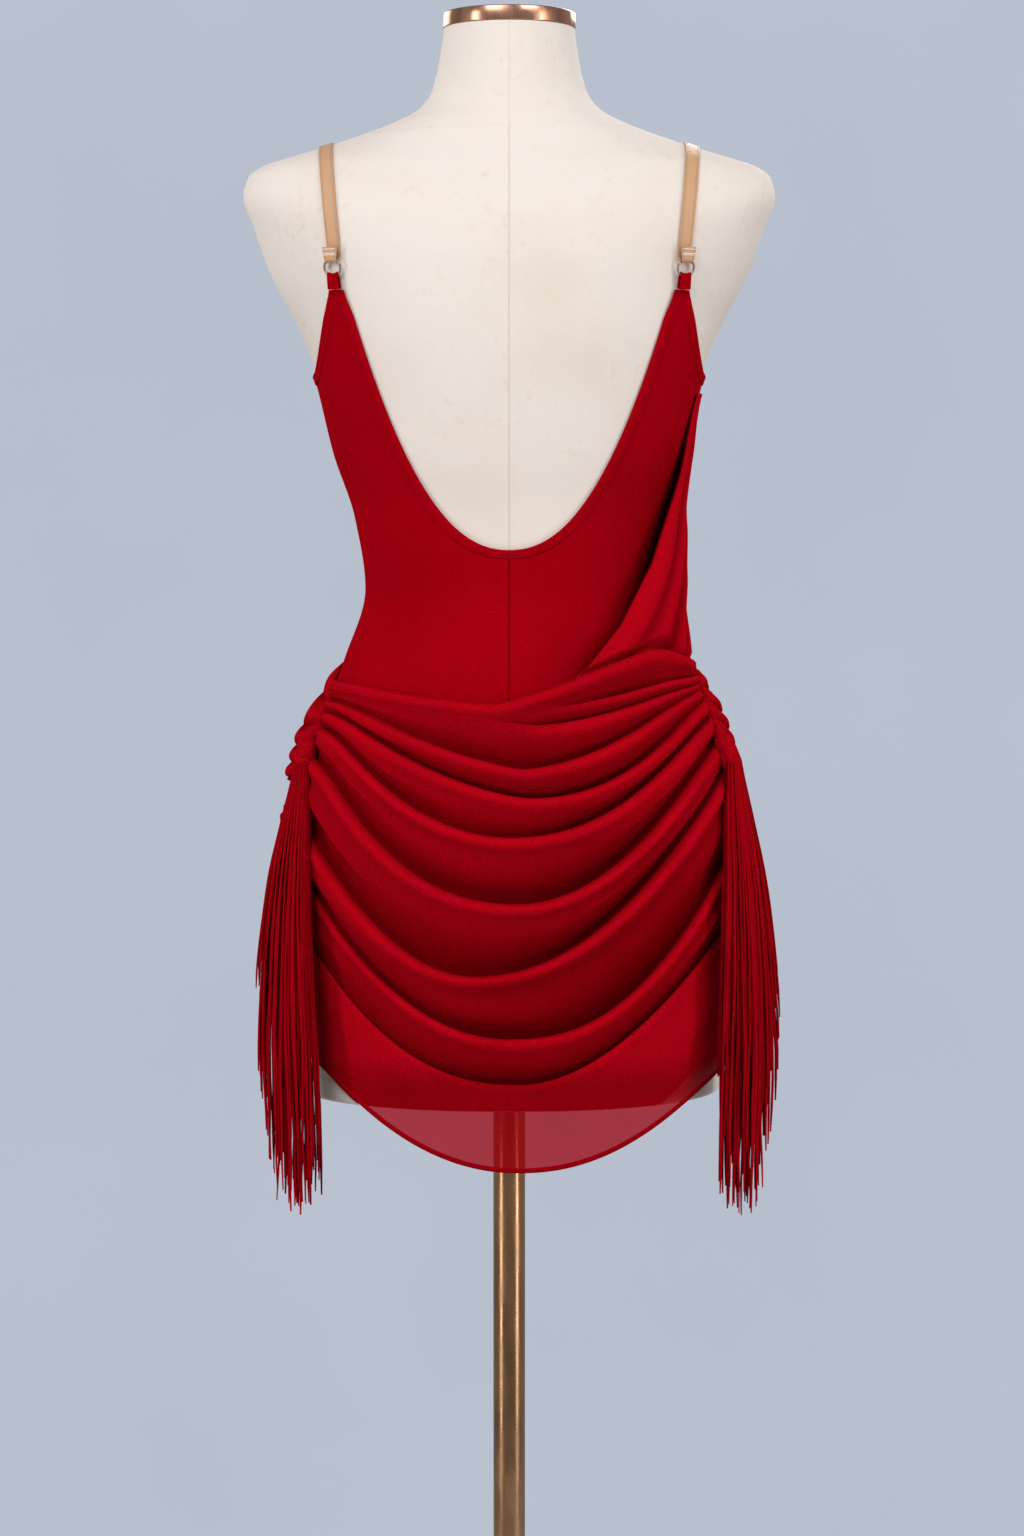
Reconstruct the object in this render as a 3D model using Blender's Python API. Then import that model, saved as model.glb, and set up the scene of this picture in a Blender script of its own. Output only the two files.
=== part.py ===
"""A backless latin dance dress on its limbless dress form, with the round stand that holds the form up.

The form is a smooth figure cut off at the neck, shoulders and upper thighs. The dress is a fitted
bodice with thin straps, a long drape down its right side, a hip drape of sagging folds at the back
and the front, a puffed gathered piece at each hip and a long fringe tassel under each of those.
Metres, +Z up. The origin is on the floor under the pole. The back of the dress faces -Y.
"""

import math

import bpy
import numpy as np

# ---------------------------------------------------------------- driving dimensions, in metres

SEAM_GAP = 0.0003  # left between pieces that meet
PANEL_INNER = 0.0015  # how far a bodice panel's inner face stands off the form
PANEL_OUTER = 0.0029  # and its outer face
CUP_EASE = 0.0012  # how much further the cloth stands off over the front
TRIM_OFF, TRIM_THICKNESS = 0.0013, 0.0009
BINDING_WIDTH = 0.0055
DRAPE_WALL = 0.0014  # thickness of the draped and gathered cloth

# The figure, from the cut at the thighs up to the top of the neck:
# height, half width, depth behind the side line, depth in front of it.
STATIONS = (
    (0.755, 0.1680, 0.130, 0.112),
    (0.800, 0.1695, 0.132, 0.113),
    (0.880, 0.1700, 0.134, 0.114),
    (0.950, 0.1665, 0.130, 0.112),
    (1.010, 0.1560, 0.119, 0.107),
    (1.060, 0.1400, 0.104, 0.100),
    (1.095, 0.1270, 0.090, 0.094),
    (1.150, 0.1105, 0.074, 0.086),
    (1.205, 0.1185, 0.077, 0.093),
    (1.255, 0.1350, 0.087, 0.102),
    (1.315, 0.1500, 0.097, 0.108),
    (1.350, 0.1635, 0.101, 0.108),
    (1.397, 0.1876, 0.102, 0.100),
    (1.430, 0.1990, 0.098, 0.088),
    (1.455, 0.2075, 0.089, 0.075),
    (1.470, 0.2040, 0.081, 0.067),
    (1.478, 0.1940, 0.077, 0.063),
    (1.483, 0.1795, 0.074, 0.060),
    (1.495, 0.1390, 0.068, 0.057),
    (1.512, 0.0915, 0.062, 0.056),
    (1.523, 0.0708, 0.057, 0.055),
    (1.537, 0.0605, 0.0535, 0.0535),
    (1.564, 0.0540, 0.052, 0.052),
    (1.585, 0.0512, 0.0512, 0.0512),
)
FORM_BASE = STATIONS[0][0]
NECK_TOP = STATIONS[-1][0]
SHOULDER_CAP, SHOULDER_REACH, SHOULDER_SQUARE = 1.440, 0.030, 0.30
NECK_ROUND, NECK_ROUND_REACH, TRUNK_SQUARE = 1.50, 0.05, 0.22
BUST_HEIGHT, BUST_ACROSS, BUST_OUT = 1.318, 0.076, 0.025
BUST_SPREAD = (0.050, 0.056)

# Heights of the form's sections: evenly spread over the legs and the trunk, then one by one.
THIGH_TOP, TRUNK_TOP = 0.95, 1.455
SHOULDER_LEVELS = (1.464, 1.472, 1.4785, 1.4835, 1.4895, 1.4965, 1.504, 1.512, 1.5185)
NECK_LEVELS = (1.525, 1.537, 1.555, NECK_TOP)

CAP_THICKNESS, CAP_OVERHANG, CAP_CHAMFER = 0.0115, 0.0006, 0.001
POLE_RADIUS = 0.0127
POLE_SOCKET = 0.080
PLATE_RADIUS, PLATE_THICKNESS, PLATE_CHAMFER = 0.165, 0.014, 0.003
COLLAR_RADIUS, COLLAR_HEIGHT = 0.026, 0.030
FOOT_CHAMFER = 0.002  # on the collar and under the plate

SCOOP_BOTTOM, SCOOP_DEPTH, SCOOP_HALF_WIDTH, SCOOP_POWER = 1.1797, 0.1983, 0.1235, 2.2
SCOOP_END = 0.0012  # half width at which a back panel begins beside the centre seam
BACK_POINT = 1.378  # top of the narrow points of the back
BACK_POINT_OUTER = 0.1345  # half width there
UNDERARM = 1.312
ARMHOLE_POWER = 0.75  # how quickly the back's armhole edge runs in from the underarm
SIDE_SEAM = 0.002  # angle left at each side between the back and the front
CENTRE_SEAM = 0.0016  # angle left on each side of the centre-back seam
YOKE_FOOT, YOKE_SIDE = 1.165, 1.145  # where the rows from the scoop end at the side seam
SEAM_TOP = 1.160  # top of the rows that run out from the centre-back seam
HEM_BEND_TOP, HEM_BEND_REACH, HEM_BEND_FOOT = 0.90, 0.13, 0.77
HEM_HALF_WIDTH = 0.178  # half width over the hips at which the hems end
UNDER_HEM_RISE = 0.006  # how far above the drapes' hems the bodice ends
BASE_CLEAR = 0.0015  # and the least above the form's cut
FRONT_POINT, FRONT_POINT_ACROSS, FRONT_POINT_WIDTH = 1.392, 0.118, 0.013
FRONT_NECK_CENTRE = 1.345
FRONT_EDGE_TOP = 1.34  # above this the front's edges run straight up
FRONT_SPREAD, FRONT_SPREAD_HEIGHT = 1.13, 0.90  # how the front widens down to the hips
FRONT_HEM_SPREAD = 1.18
FRONT_OUTER_MARKS = (0.132, 0.1405, 0.147)  # columns of the front between its point and its side
FRONT_BAND = 0.30  # share of the front's length that has the closer rows
ARMHOLE_MARKS = (0.1494, 0.1470, 0.1436, 0.1390, 0.1330, 0.1270)
ARMHOLE_START, ARMHOLE_END = 0.012, 0.002  # the binding's distance from the point and underarm

RING_HEIGHT, RING_ACROSS = 1.3955, 0.1325
RING_RADIUS, RING_WIRE = 0.0069, 0.0009
LOOP_WIDTH, LOOP_BORE, RING_GRIP = 0.0096, 0.0016, 0.0084
STRAP_WIDTH, STRAP_THICKNESS, STRAP_OFF = 0.0108, 0.0010, 0.0008
STRAP_CREST_ACROSS = 0.1415
STRAP_BACK_RISE, STRAP_FRONT_RISE = 0.003, 0.004  # from the ring and from the front's point
STRAP_TAIL = 0.0085  # end of the strap that is folded back under the ring
RING_STAND = 0.0040  # from the figure to the middle of the ring's wire
LOOP_THICKNESS, LOOP_CLEAR = 0.0011, 0.0012

# The side drape: its inner edge as (height, half width), and how far it stands off at the side.
SIDE_DRAPE_EDGE = (
    (1.080, 0.0500),
    (1.123, 0.0847),
    (1.170, 0.1087),
    (1.223, 0.1260),
    (1.275, 0.1416),
    (1.302, 0.1492),
)
SIDE_DRAPE_STAND = (
    (1.080, 0.0160),
    (1.124, 0.0245),
    (1.169, 0.0295),
    (1.241, 0.0125),
    (1.302, 0.0055),
)
SIDE_DRAPE_ROWS = 13
SIDE_DRAPE_WRAP = (0.42, 0.80)  # angle that it reaches on the front, at its top and its foot
SIDE_DRAPE_LIFT = 0.022  # how far its foot climbs to the side
SIDE_DRAPE_PLEATS, SIDE_DRAPE_PLEAT_DEPTH = 5.5, 0.0022
SIDE_DRAPE_OFF, SIDE_DRAPE_EDGE_OFF, SIDE_DRAPE_CLEAR = 0.0016, 0.0036, 0.0074

# The folds of the back hip drape, from its top edge to its hem: height of the lowest point, height
# at the left and the right end, where across it is lowest, how steeply each half climbs, and how
# far the crest stands out in front of the troughs.
BACK_FOLDS = (
    (1.0645, 1.0800, 1.0995, -0.010, 1.35, 1.40, 0.006),
    (1.0590, 1.0755, 1.0925, -0.005, 1.40, 1.80, 0.007),
    (1.0490, 1.0705, 1.0850, 0.020, 1.25, 1.65, 0.008),
    (1.0165, 1.0640, 1.0780, 0.009, 1.25, 1.65, 0.012),
    (0.9949, 1.0550, 1.0670, 0.015, 1.45, 2.15, 0.012),
    (0.9658, 1.0430, 1.0530, 0.000, 1.85, 2.15, 0.014),
    (0.9163, 1.0220, 1.0370, 0.006, 2.20, 1.95, 0.016),
    (0.8960, 1.0040, 1.0290, -0.010, 2.20, 2.05, 0.008),
    (0.8617, 0.9850, 1.0190, -0.026, 1.96, 2.08, 0.016),
    (0.8137, 0.9580, 0.9900, 0.000, 2.04, 2.45, 0.015),
    (0.7783, 0.9180, 0.9350, 0.008, 2.35, 1.90, 0.011),
    (0.7130, 0.8200, 0.8180, 0.008, 2.05, 2.20, 0.000),
)
MIDDLE_OFF = 0.0070  # how far the troughs stand off the figure in the middle of the back
MEASURED_OFF = 0.010  # how far off the figure the folds' heights are set out
SEAM_REACH = 0.045  # below the gathered seam the folds' ends run out to the side line in this height
FOLD_ROWS = ((0.38, 0.55), (0.74, 0.04), (1.0, 1.0))  # way down to the next crest, share of it
FRONT_ROWS = ((0.0, 1.0), (0.36, 0.5), (0.74, 0.0))
FRONT_FOLD_COUNT = 8
FRONT_WRAP, FRONT_OFF, FRONT_CREST, FRONT_MIDDLE_SAG = 0.36, 0.0066, 0.013, 0.050
FRONT_WRAP_FOOT, FRONT_WRAP_REACH = 1.003, 0.07
FRONT_TOP, FRONT_TOP_SAG = 1.072, 0.034
FRONT_HEM_ENDS, FRONT_HEM_SAG = 0.818, 0.062
HEM_HEIGHT, HEM_INNER, HEM_OUTER, HEM_CLEAR = 0.0045, -0.0003, 0.0017, 0.0002
SIDE_LINE = 0.024  # angle from the side at which the back and front drapes meet

PUFF_RIBS, PUFF_RIB_DEPTH, PUFF_DROP = 8, 0.0035, 0.012
PUFF_PROFILE = (0.0, 0.8, 1.0)  # of one rib
PUFF_START, PUFF_END, PUFF_END_OFF = 0.022, 0.335, 0.0068
PUFF_CLEAR, PUFF_SEAM_RISE = 0.0060, 0.002
KNOT_PROFILE = ((0.0, 0.0016), (0.25, 0.0032), (0.85, 0.0042), (1.0, 0.0036))
HEAD_PROFILE = ((0.0, 0.0058), (0.12, 0.0076), (0.5, 0.0082), (0.88, 0.0080), (1.0, 0.0068))
KNOT_SHARE = 0.30  # of the tassel's head


class Side:
    """What differs between the left and the right hip. Left is at -X."""

    def __init__(self, name, sign, seam, seam_off, ruche_top, ruche_bottom, bulge, tassel, fringe):
        self.name = name
        self.sign = sign
        self.seam = seam  # (half width, height) at the top and the bottom of the gathered back seam
        self.seam_off = seam_off  # how far the seam stands off the figure
        self.ruche_top = ruche_top  # height of the puffed piece's top over the side line
        self.ruche_bottom = ruche_bottom
        self.bulge = bulge  # how far it puffs out at its top and lower down
        self.tassel = tassel  # top of the knot and bottom of the head, as (across, y, height)
        self.fringe = fringe  # (height, across, y, half length, half thickness)


LEFT = Side(
    "left",
    -1,
    ((0.139, 1.0705), (0.1542, 0.999)),
    0.006,
    1.096,
    1.006,
    (0.009, 0.0195),
    ((0.1535, -0.047, 1.0415), (0.1600, -0.061, 1.0125)),
    (
        (1.007, 0.1605, -0.0620, 0.0080, 0.0060),
        (0.985, 0.1630, -0.0740, 0.0120, 0.0070),
        (0.940, 0.1680, -0.0900, 0.0200, 0.0080),
        (0.880, 0.1710, -0.0965, 0.0270, 0.0090),
        (0.800, 0.1720, -0.0960, 0.0330, 0.0100),
        (0.740, 0.1700, -0.0940, 0.0330, 0.0100),
        (0.690, 0.1640, -0.0890, 0.0240, 0.0090),
        (0.662, 0.1620, -0.0890, 0.0120, 0.0070),
    ),
)
RIGHT = Side(
    "right",
    1,
    ((0.1436, 1.0928), (0.1628, 1.0175)),
    0.0175,
    1.0985,
    1.010,
    (0.0215, 0.0310),
    ((0.1605, -0.056, 1.0455), (0.1725, -0.071, 1.0145)),
    (
        (1.009, 0.1735, -0.0720, 0.0080, 0.0060),
        (0.985, 0.1755, -0.0790, 0.0120, 0.0070),
        (0.940, 0.1800, -0.0910, 0.0200, 0.0080),
        (0.880, 0.1835, -0.0945, 0.0270, 0.0090),
        (0.800, 0.1860, -0.0920, 0.0330, 0.0100),
        (0.740, 0.1850, -0.0890, 0.0330, 0.0100),
        (0.690, 0.1780, -0.0850, 0.0250, 0.0090),
        (0.662, 0.1740, -0.0850, 0.0120, 0.0070),
    ),
)
FRINGE_TURN = math.radians(-40)  # how far the fringe is turned from facing straight back


# ---------------------------------------------------------------- the figure


def monotone(x, points, column):
    """A smooth curve through one column of the stations, with no overshoot between them."""
    heights = [row[0] for row in points]
    values = [row[column] for row in points]
    x = min(max(x, heights[0]), heights[-1])
    i = min(max(int(np.searchsorted(heights, x)) - 1, 0), len(heights) - 2)

    def slope(k):
        if k <= 0 or k >= len(heights) - 1:
            return 0.0
        before = (values[k] - values[k - 1]) / (heights[k] - heights[k - 1])
        after = (values[k + 1] - values[k]) / (heights[k + 1] - heights[k])
        if before * after <= 0:
            return 0.0
        return 2 * before * after / (before + after)

    step = heights[i + 1] - heights[i]
    t = (x - heights[i]) / step
    h00 = (1 + 2 * t) * (1 - t) ** 2
    h10 = t * (1 - t) ** 2
    h01 = t * t * (3 - 2 * t)
    h11 = t * t * (t - 1)
    start, end = slope(i) * step, slope(i + 1) * step
    return h00 * values[i] + h10 * start + h01 * values[i + 1] + h11 * end


def half_width(z):
    return monotone(z, STATIONS, 1)


def depth(z, front):
    return monotone(z, STATIONS, 3 if front else 2)


def roundness(z):
    """Exponent of the section: 2 is an ellipse, more is squarer, as over the shoulder caps."""
    shoulder = math.exp(-(((z - SHOULDER_CAP) / SHOULDER_REACH) ** 2))
    trunk = smooth((NECK_ROUND - z) / NECK_ROUND_REACH)
    return 2.0 + TRUNK_SQUARE * trunk + SHOULDER_SQUARE * shoulder


def figure(angle, z, off=0.0):
    """Point of the figure at an angle round it, moved out by off. Angle 0 is +X and -pi/2 the back."""
    front = math.sin(angle) > 0
    if off > 0:
        off += CUP_EASE * smooth(1.5 * math.sin(angle))
    a = half_width(z) + off
    b = depth(z, front) + off
    n = roundness(z)
    r = ((abs(math.cos(angle)) / a) ** n + (abs(math.sin(angle)) / b) ** n) ** (-1 / n)
    x, y = r * math.cos(angle), r * math.sin(angle)
    if front:
        y += bust(x, z)
    return np.array([x, y, z])


def bust(x, z):
    """How far the cups stand out at a point of the front."""
    across = (abs(x) - BUST_ACROSS) / BUST_SPREAD[0]
    up = (z - BUST_HEIGHT) / BUST_SPREAD[1]
    return BUST_OUT * math.exp(-across * across - up * up)


def angle_at(x, z, off=0.0, front=False):
    """Angle of the point of the figure that lies at x."""
    a = half_width(z) + off
    b = depth(z, front) + off
    n = roundness(z)
    y = b * max(1 - (min(abs(x) / a, 0.99999)) ** n, 0.0) ** (1 / n)
    return math.atan2(y if front else -y, x)


def smooth(t):
    t = min(max(t, 0.0), 1.0)
    return t * t * (3 - 2 * t)


def mix(a, b, t):
    return a + (b - a) * t


def spread(start, end, count):
    return [mix(start, end, i / (count - 1)) for i in range(count)]


# ---------------------------------------------------------------- making meshes


def material(name, colour, roughness, metallic=0.0):
    made = bpy.data.materials.new(name)
    made.use_nodes = True
    shader = made.node_tree.nodes["Principled BSDF"]
    shader.inputs["Base Color"].default_value = (*colour, 1.0)
    shader.inputs["Roughness"].default_value = roughness
    shader.inputs["Metallic"].default_value = metallic
    return made


def add(name, points, faces, made, smoothed=True):
    mesh = bpy.data.meshes.new(name)
    mesh.from_pydata([tuple(float(c) for c in p) for p in points], [], faces)
    mesh.update()
    obj = bpy.data.objects.new(name, mesh)
    bpy.context.scene.collection.objects.link(obj)
    mesh.materials.append(made)
    volume = 0.0
    for polygon in mesh.polygons:
        volume += polygon.center.dot(polygon.normal) * polygon.area
    if volume < 0:
        mesh.flip_normals()
    if smoothed:
        mesh.shade_smooth()
        mesh.set_sharp_from_angle(angle=math.radians(40))
    return obj


def wall(name, inner, outer, made):
    """A closed sheet between two grids of points that have the same rows and columns."""
    rows, columns = len(inner), len(inner[0])
    points = [p for row in outer for p in row] + [p for row in inner for p in row]
    under = rows * columns

    def at(i, j):
        return i * columns + j

    faces = []
    for i in range(rows - 1):
        for j in range(columns - 1):
            quad = (at(i, j), at(i, j + 1), at(i + 1, j + 1), at(i + 1, j))
            faces.append(quad)
            faces.append(tuple(under + k for k in reversed(quad)))
    rim = [at(0, j) for j in range(columns)]
    rim += [at(i, columns - 1) for i in range(1, rows)]
    rim += [at(rows - 1, j) for j in range(columns - 2, -1, -1)]
    rim += [at(i, 0) for i in range(rows - 2, 0, -1)]
    for k, here in enumerate(rim):
        after = rim[(k + 1) % len(rim)]
        faces.append((after, here, under + here, under + after))
    return add(name, points, faces, made)


def on_figure(name, grid, inner, outer, made):
    """A panel from a grid of (angle, height), its faces at two distances off the figure."""
    inside = [[figure(angle, z, inner) for angle, z in row] for row in grid]
    outside = [[figure(angle, z, outer) for angle, z in row] for row in grid]
    return wall(name, inside, outside, made)


def loft(name, rings, made):
    """A solid through closed rings of equal count, capped at both ends."""
    count = len(rings[0])
    points = [p for ring in rings for p in ring]
    faces = []
    for i in range(len(rings) - 1):
        for j in range(count):
            k = (j + 1) % count
            faces.append((i * count + j, i * count + k, (i + 1) * count + k, (i + 1) * count + j))
    faces.append(tuple(reversed(range(count))))
    faces.append(tuple((len(rings) - 1) * count + j for j in range(count)))
    return add(name, points, faces, made)


def circle(centre, radius, count, z=0.0):
    step = 2 * math.pi / count
    return [
        (centre[0] + radius * math.cos(i * step), centre[1] + radius * math.sin(i * step), z)
        for i in range(count)
    ]


def turned(name, profile, start, end, count, made):
    """A round solid about the line from start to end. The profile holds (share of the way, radius)."""
    start, end = np.array(start), np.array(end)
    axis = (end - start) / np.linalg.norm(end - start)
    side = np.cross(axis, (0.0, 1.0, 0.0))
    side /= np.linalg.norm(side)
    up = np.cross(axis, side)
    rings = []
    for share, radius in profile:
        centre = start + (end - start) * share
        ring = []
        for i in range(count):
            turn = 2 * math.pi * i / count
            ring.append(centre + radius * (side * math.cos(turn) + up * math.sin(turn)))
        rings.append(ring)
    return loft(name, rings, made)


def arched(name, path, across, outward, width, thickness, lift, bend, made):
    """A strip along a path whose bend round the ring arches with it and narrows there.

    lift points from the ring's wire to its centre. After bend points, if any, the strip is flat.
    """
    inner, outer = [], []
    for i, (p, a, n) in enumerate(zip(path, across, outward)):
        near = smooth((bend + 1 - i) / 3) if bend else 1.0
        at_ring = near * smooth(1 - abs(i - 6) / 6) if bend else smooth(1 - abs(i - 6) / 7)
        wide = mix(width, min(width, RING_GRIP), at_ring)
        low, high = [], []
        for share in (-0.5, -0.25, 0.0, 0.25, 0.5):
            step = wide * share
            arch = RING_RADIUS - math.sqrt(RING_RADIUS**2 - min(abs(step), RING_RADIUS) ** 2)
            foot = p + a * step + lift * (arch * at_ring)
            low.append(foot)
            high.append(foot + n * thickness)
        inner.append(low)
        outer.append(high)
    return wall(name, inner, outer, made)


# ---------------------------------------------------------------- form and stand


def make_form(linen):
    """The torso, closed at the neck, with a socket for the pole in its flat base."""
    count = 36
    heights = spread(FORM_BASE, THIGH_TOP, 5)[:-1] + spread(THIGH_TOP, TRUNK_TOP, 16)
    heights += [*SHOULDER_LEVELS, *NECK_LEVELS]
    rings = []
    for z in heights:
        rings.append([figure(2 * math.pi * i / count, z) for i in range(count)])
    bore = POLE_RADIUS + SEAM_GAP
    socket = [circle((0, 0), bore, count, FORM_BASE + POLE_SOCKET)]
    socket.append(circle((0, 0), bore, count, FORM_BASE))
    return loft("form_torso", socket + rings, linen)


def make_stand(cap_metal, pole_metal, plate_metal):
    z = NECK_TOP + SEAM_GAP
    radius = half_width(NECK_TOP) + CAP_OVERHANG
    levels = ((0.0, radius), (0.9, radius), (1.0, radius - CAP_CHAMFER))
    rings = [circle((0, 0), r, 48, z + CAP_THICKNESS * share) for share, r in levels]
    loft("neck_cap", rings, cap_metal)
    foot = PLATE_THICKNESS + SEAM_GAP
    levels = (foot, FORM_BASE + POLE_SOCKET - SEAM_GAP)
    loft("pole", [circle((0, 0), POLE_RADIUS, 36, level) for level in levels], pole_metal)
    outer, top = COLLAR_RADIUS, foot + COLLAR_HEIGHT
    inner = POLE_RADIUS + SEAM_GAP
    profile = ((inner, foot), (outer, foot), (outer, top - FOOT_CHAMFER))
    profile += ((outer - FOOT_CHAMFER, top), (inner, top))
    tube("foot_collar", profile, 36, pole_metal)
    edge = PLATE_RADIUS
    thick = PLATE_THICKNESS
    levels = ((edge - FOOT_CHAMFER, 0.0), (edge, FOOT_CHAMFER))
    levels += ((edge, thick - PLATE_CHAMFER), (edge - PLATE_CHAMFER, thick))
    rings = [circle((0, 0), radius, 64, level) for radius, level in levels]
    loft("foot_plate", rings, plate_metal)


def tube(name, profile, count, made):
    """A ring-shaped solid turned about the Z axis from a closed profile of (radius, height)."""
    points = []
    for radius, height in profile:
        points += circle((0, 0), radius, count, height)
    faces = []
    for i in range(len(profile)):
        below = i * count
        above = (i + 1) % len(profile) * count
        for j in range(count):
            k = (j + 1) % count
            faces.append((below + j, below + k, above + k, above + j))
    return add(name, points, faces, made)


# ---------------------------------------------------------------- bodice


def scoop_height(x):
    return SCOOP_BOTTOM + SCOOP_DEPTH * (abs(x) / SCOOP_HALF_WIDTH) ** SCOOP_POWER


def armhole_across(z):
    """Half width of the back's outer edge between the underarm and the point."""
    t = (z - UNDERARM) / (BACK_POINT - UNDERARM)
    return mix(half_width(UNDERARM) * 0.9995, BACK_POINT_OUTER, t**ARMHOLE_POWER)


def outer_edge(z, sign):
    """Angle of the back panel's outer edge: the armhole, and the side seam below it."""
    if z <= UNDERARM:
        angle = -SIDE_SEAM
    else:
        angle = angle_at(armhole_across(z), z)
    return angle if sign > 0 else -math.pi - angle


def back_hem(x):
    """Height of the under layer's lower edge: it follows the hip drape's hem, on the form."""
    hem = fold_height(BACK_FOLDS[-1], x, HEM_HALF_WIDTH, HEM_HALF_WIDTH)
    return max(hem + UNDER_HEM_RISE, FORM_BASE + BASE_CLEAR)


def make_back(side, crepe):
    """One back panel: its rows run from the scoop, then the centre-back seam, out to the side."""
    steps, below, columns = 11, 11, 9
    grid = []
    for i in range(steps):
        t = (i / (steps - 1)) ** 0.9
        x = mix(SCOOP_HALF_WIDTH, SCOOP_END, t)
        z = scoop_height(x)
        z_out = mix(BACK_POINT, YOKE_FOOT, t**0.85)
        start = angle_at(x * side.sign, z)
        grid.append(panel_row(start, z, outer_edge(z_out, side.sign), z_out, columns))
    start = -math.pi / 2 + side.sign * CENTRE_SEAM
    centre = spread(SEAM_TOP, back_hem(0.0), below)
    at_side = spread(YOKE_SIDE, back_hem(HEM_HALF_WIDTH), below)
    for z_in, z_out in zip(centre, at_side):
        row = panel_row(start, z_in, outer_edge(z_out, side.sign), z_out, columns)
        grid.append([(angle, lower_edge(angle, z, z_in)) for angle, z in row])
    on_figure("back_" + side.name, grid, PANEL_INNER, PANEL_OUTER, crepe)


def lower_edge(angle, z, z_in):
    """Bends the lowest rows of a panel to the curve of the hem."""
    hem = back_hem(figure(angle, z)[0])
    if z_in <= HEM_BEND_FOOT:
        return hem
    return mix(z, max(z, hem), smooth((HEM_BEND_TOP - z_in) / HEM_BEND_REACH))


def panel_row(angle_in, z_in, angle_out, z_out, columns):
    return [
        (mix(angle_in, angle_out, t), mix(z_in, z_out, t)) for t in spread(0.0, 1.0, columns)
    ]


def front_top(x):
    """Height of the front's upper edge: neckline, strap points and armholes."""
    inner = FRONT_POINT_ACROSS - FRONT_POINT_WIDTH / 2
    outer = FRONT_POINT_ACROSS + FRONT_POINT_WIDTH / 2
    x = abs(x)
    if x <= inner:
        return mix(FRONT_NECK_CENTRE, FRONT_POINT, (x / inner) ** 3)
    if x <= outer:
        return FRONT_POINT
    t = (x - outer) / (half_width(UNDERARM) - outer)
    return mix(FRONT_POINT, UNDERARM, min(t, 1.0) ** 0.6)


def front_hem(x):
    sag = FRONT_HEM_ENDS - FRONT_HEM_SAG * (1 - min(abs(x) / HEM_HALF_WIDTH, 1.0) ** 2)
    return max(sag + UNDER_HEM_RISE, FORM_BASE + BASE_CLEAR)


def make_front(crepe):
    """The front in one piece, shaped over the bust by the figure's darts."""
    inner = FRONT_POINT_ACROSS - FRONT_POINT_WIDTH / 2
    outer = FRONT_POINT_ACROSS + FRONT_POINT_WIDTH / 2
    half = half_width(UNDERARM)
    marks = spread(0.0, inner, 7)[:-1] + [inner, outer, *FRONT_OUTER_MARKS, half * 0.9999]
    columns = []
    for x in [-m for m in reversed(marks[1:])] + marks:
        top = front_top(x)
        angle = angle_at(x, min(top, FRONT_EDGE_TOP), front=True)
        if abs(x) > half * 0.999:
            angle = SIDE_SEAM if x > 0 else math.pi - SIDE_SEAM
        columns.append((angle, top, x))
    grid = []
    for t in spread(0.0, FRONT_BAND, 10) + spread(FRONT_BAND, 1.0, 10)[1:]:
        row = []
        for angle, top, x in columns:
            spread_out = angle
            if abs(x) < half * 0.99:
                spread_out = angle_at(x * FRONT_SPREAD, FRONT_SPREAD_HEIGHT, front=True)
            turn = mix(angle, spread_out, smooth(t * 1.6))
            row.append((turn, mix(top, front_hem(x * FRONT_HEM_SPREAD), t)))
        grid.append(row)
    on_figure("front", grid, PANEL_INNER, PANEL_OUTER, crepe)


def edging(name, path, inward, made):
    """A binding along an edge, from points (angle, height) and the way into the cloth at each."""
    inner_off = PANEL_OUTER + TRIM_OFF
    grid = []
    for (angle, z), (turn, rise) in zip(path, inward):
        grid.append([(angle, z), (angle + turn, z + rise)])
    on_figure(name, grid, inner_off, inner_off + TRIM_THICKNESS, made)


def inward_steps(path, towards):
    """For each point of an edge, the step of one binding width into the cloth."""
    steps = []
    for i, (angle, z) in enumerate(path):
        before, after = path[max(i - 1, 0)], path[min(i + 1, len(path) - 1)]
        here = figure(angle, z)
        scale = math.hypot(here[0], here[1])
        run = (after[0] - before[0]) * scale
        rise = after[1] - before[1]
        length = math.hypot(run, rise)
        turn, lift = -rise / length * towards, run / length * towards
        steps.append((turn * BINDING_WIDTH / scale, lift * BINDING_WIDTH))
    return steps


def make_bindings(tape):
    path = []
    for i in range(33):
        x = SCOOP_HALF_WIDTH * 0.985 * math.sin(math.pi * (i / 32 - 0.5))
        z = scoop_height(x)
        path.append((angle_at(x, z), z))
    edging("scoop_binding", path, inward_steps(path, -1), tape)
    for side in (LEFT, RIGHT):
        path = []
        for z in spread(BACK_POINT - ARMHOLE_START, UNDERARM + ARMHOLE_END, 10):
            path.append((outer_edge(z, side.sign), z))
        for x in ARMHOLE_MARKS:
            z = front_top(x)
            angle = angle_at(x, min(z, FRONT_EDGE_TOP), front=True)
            path.append((angle if side.sign > 0 else -math.pi - angle, z))
        name = "armhole_binding_" + side.name
        edging(name, path, inward_steps(path, -side.sign), tape)
    path = []
    inner = FRONT_POINT_ACROSS - FRONT_POINT_WIDTH / 2
    for x in spread(-inner * 0.97, inner * 0.97, 25):
        z = front_top(x)
        path.append((angle_at(x, min(z, FRONT_EDGE_TOP), front=True), z))
    edging("front_neck_binding", path, inward_steps(path, 1), tape)


# ---------------------------------------------------------------- straps, rings and loops


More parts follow.
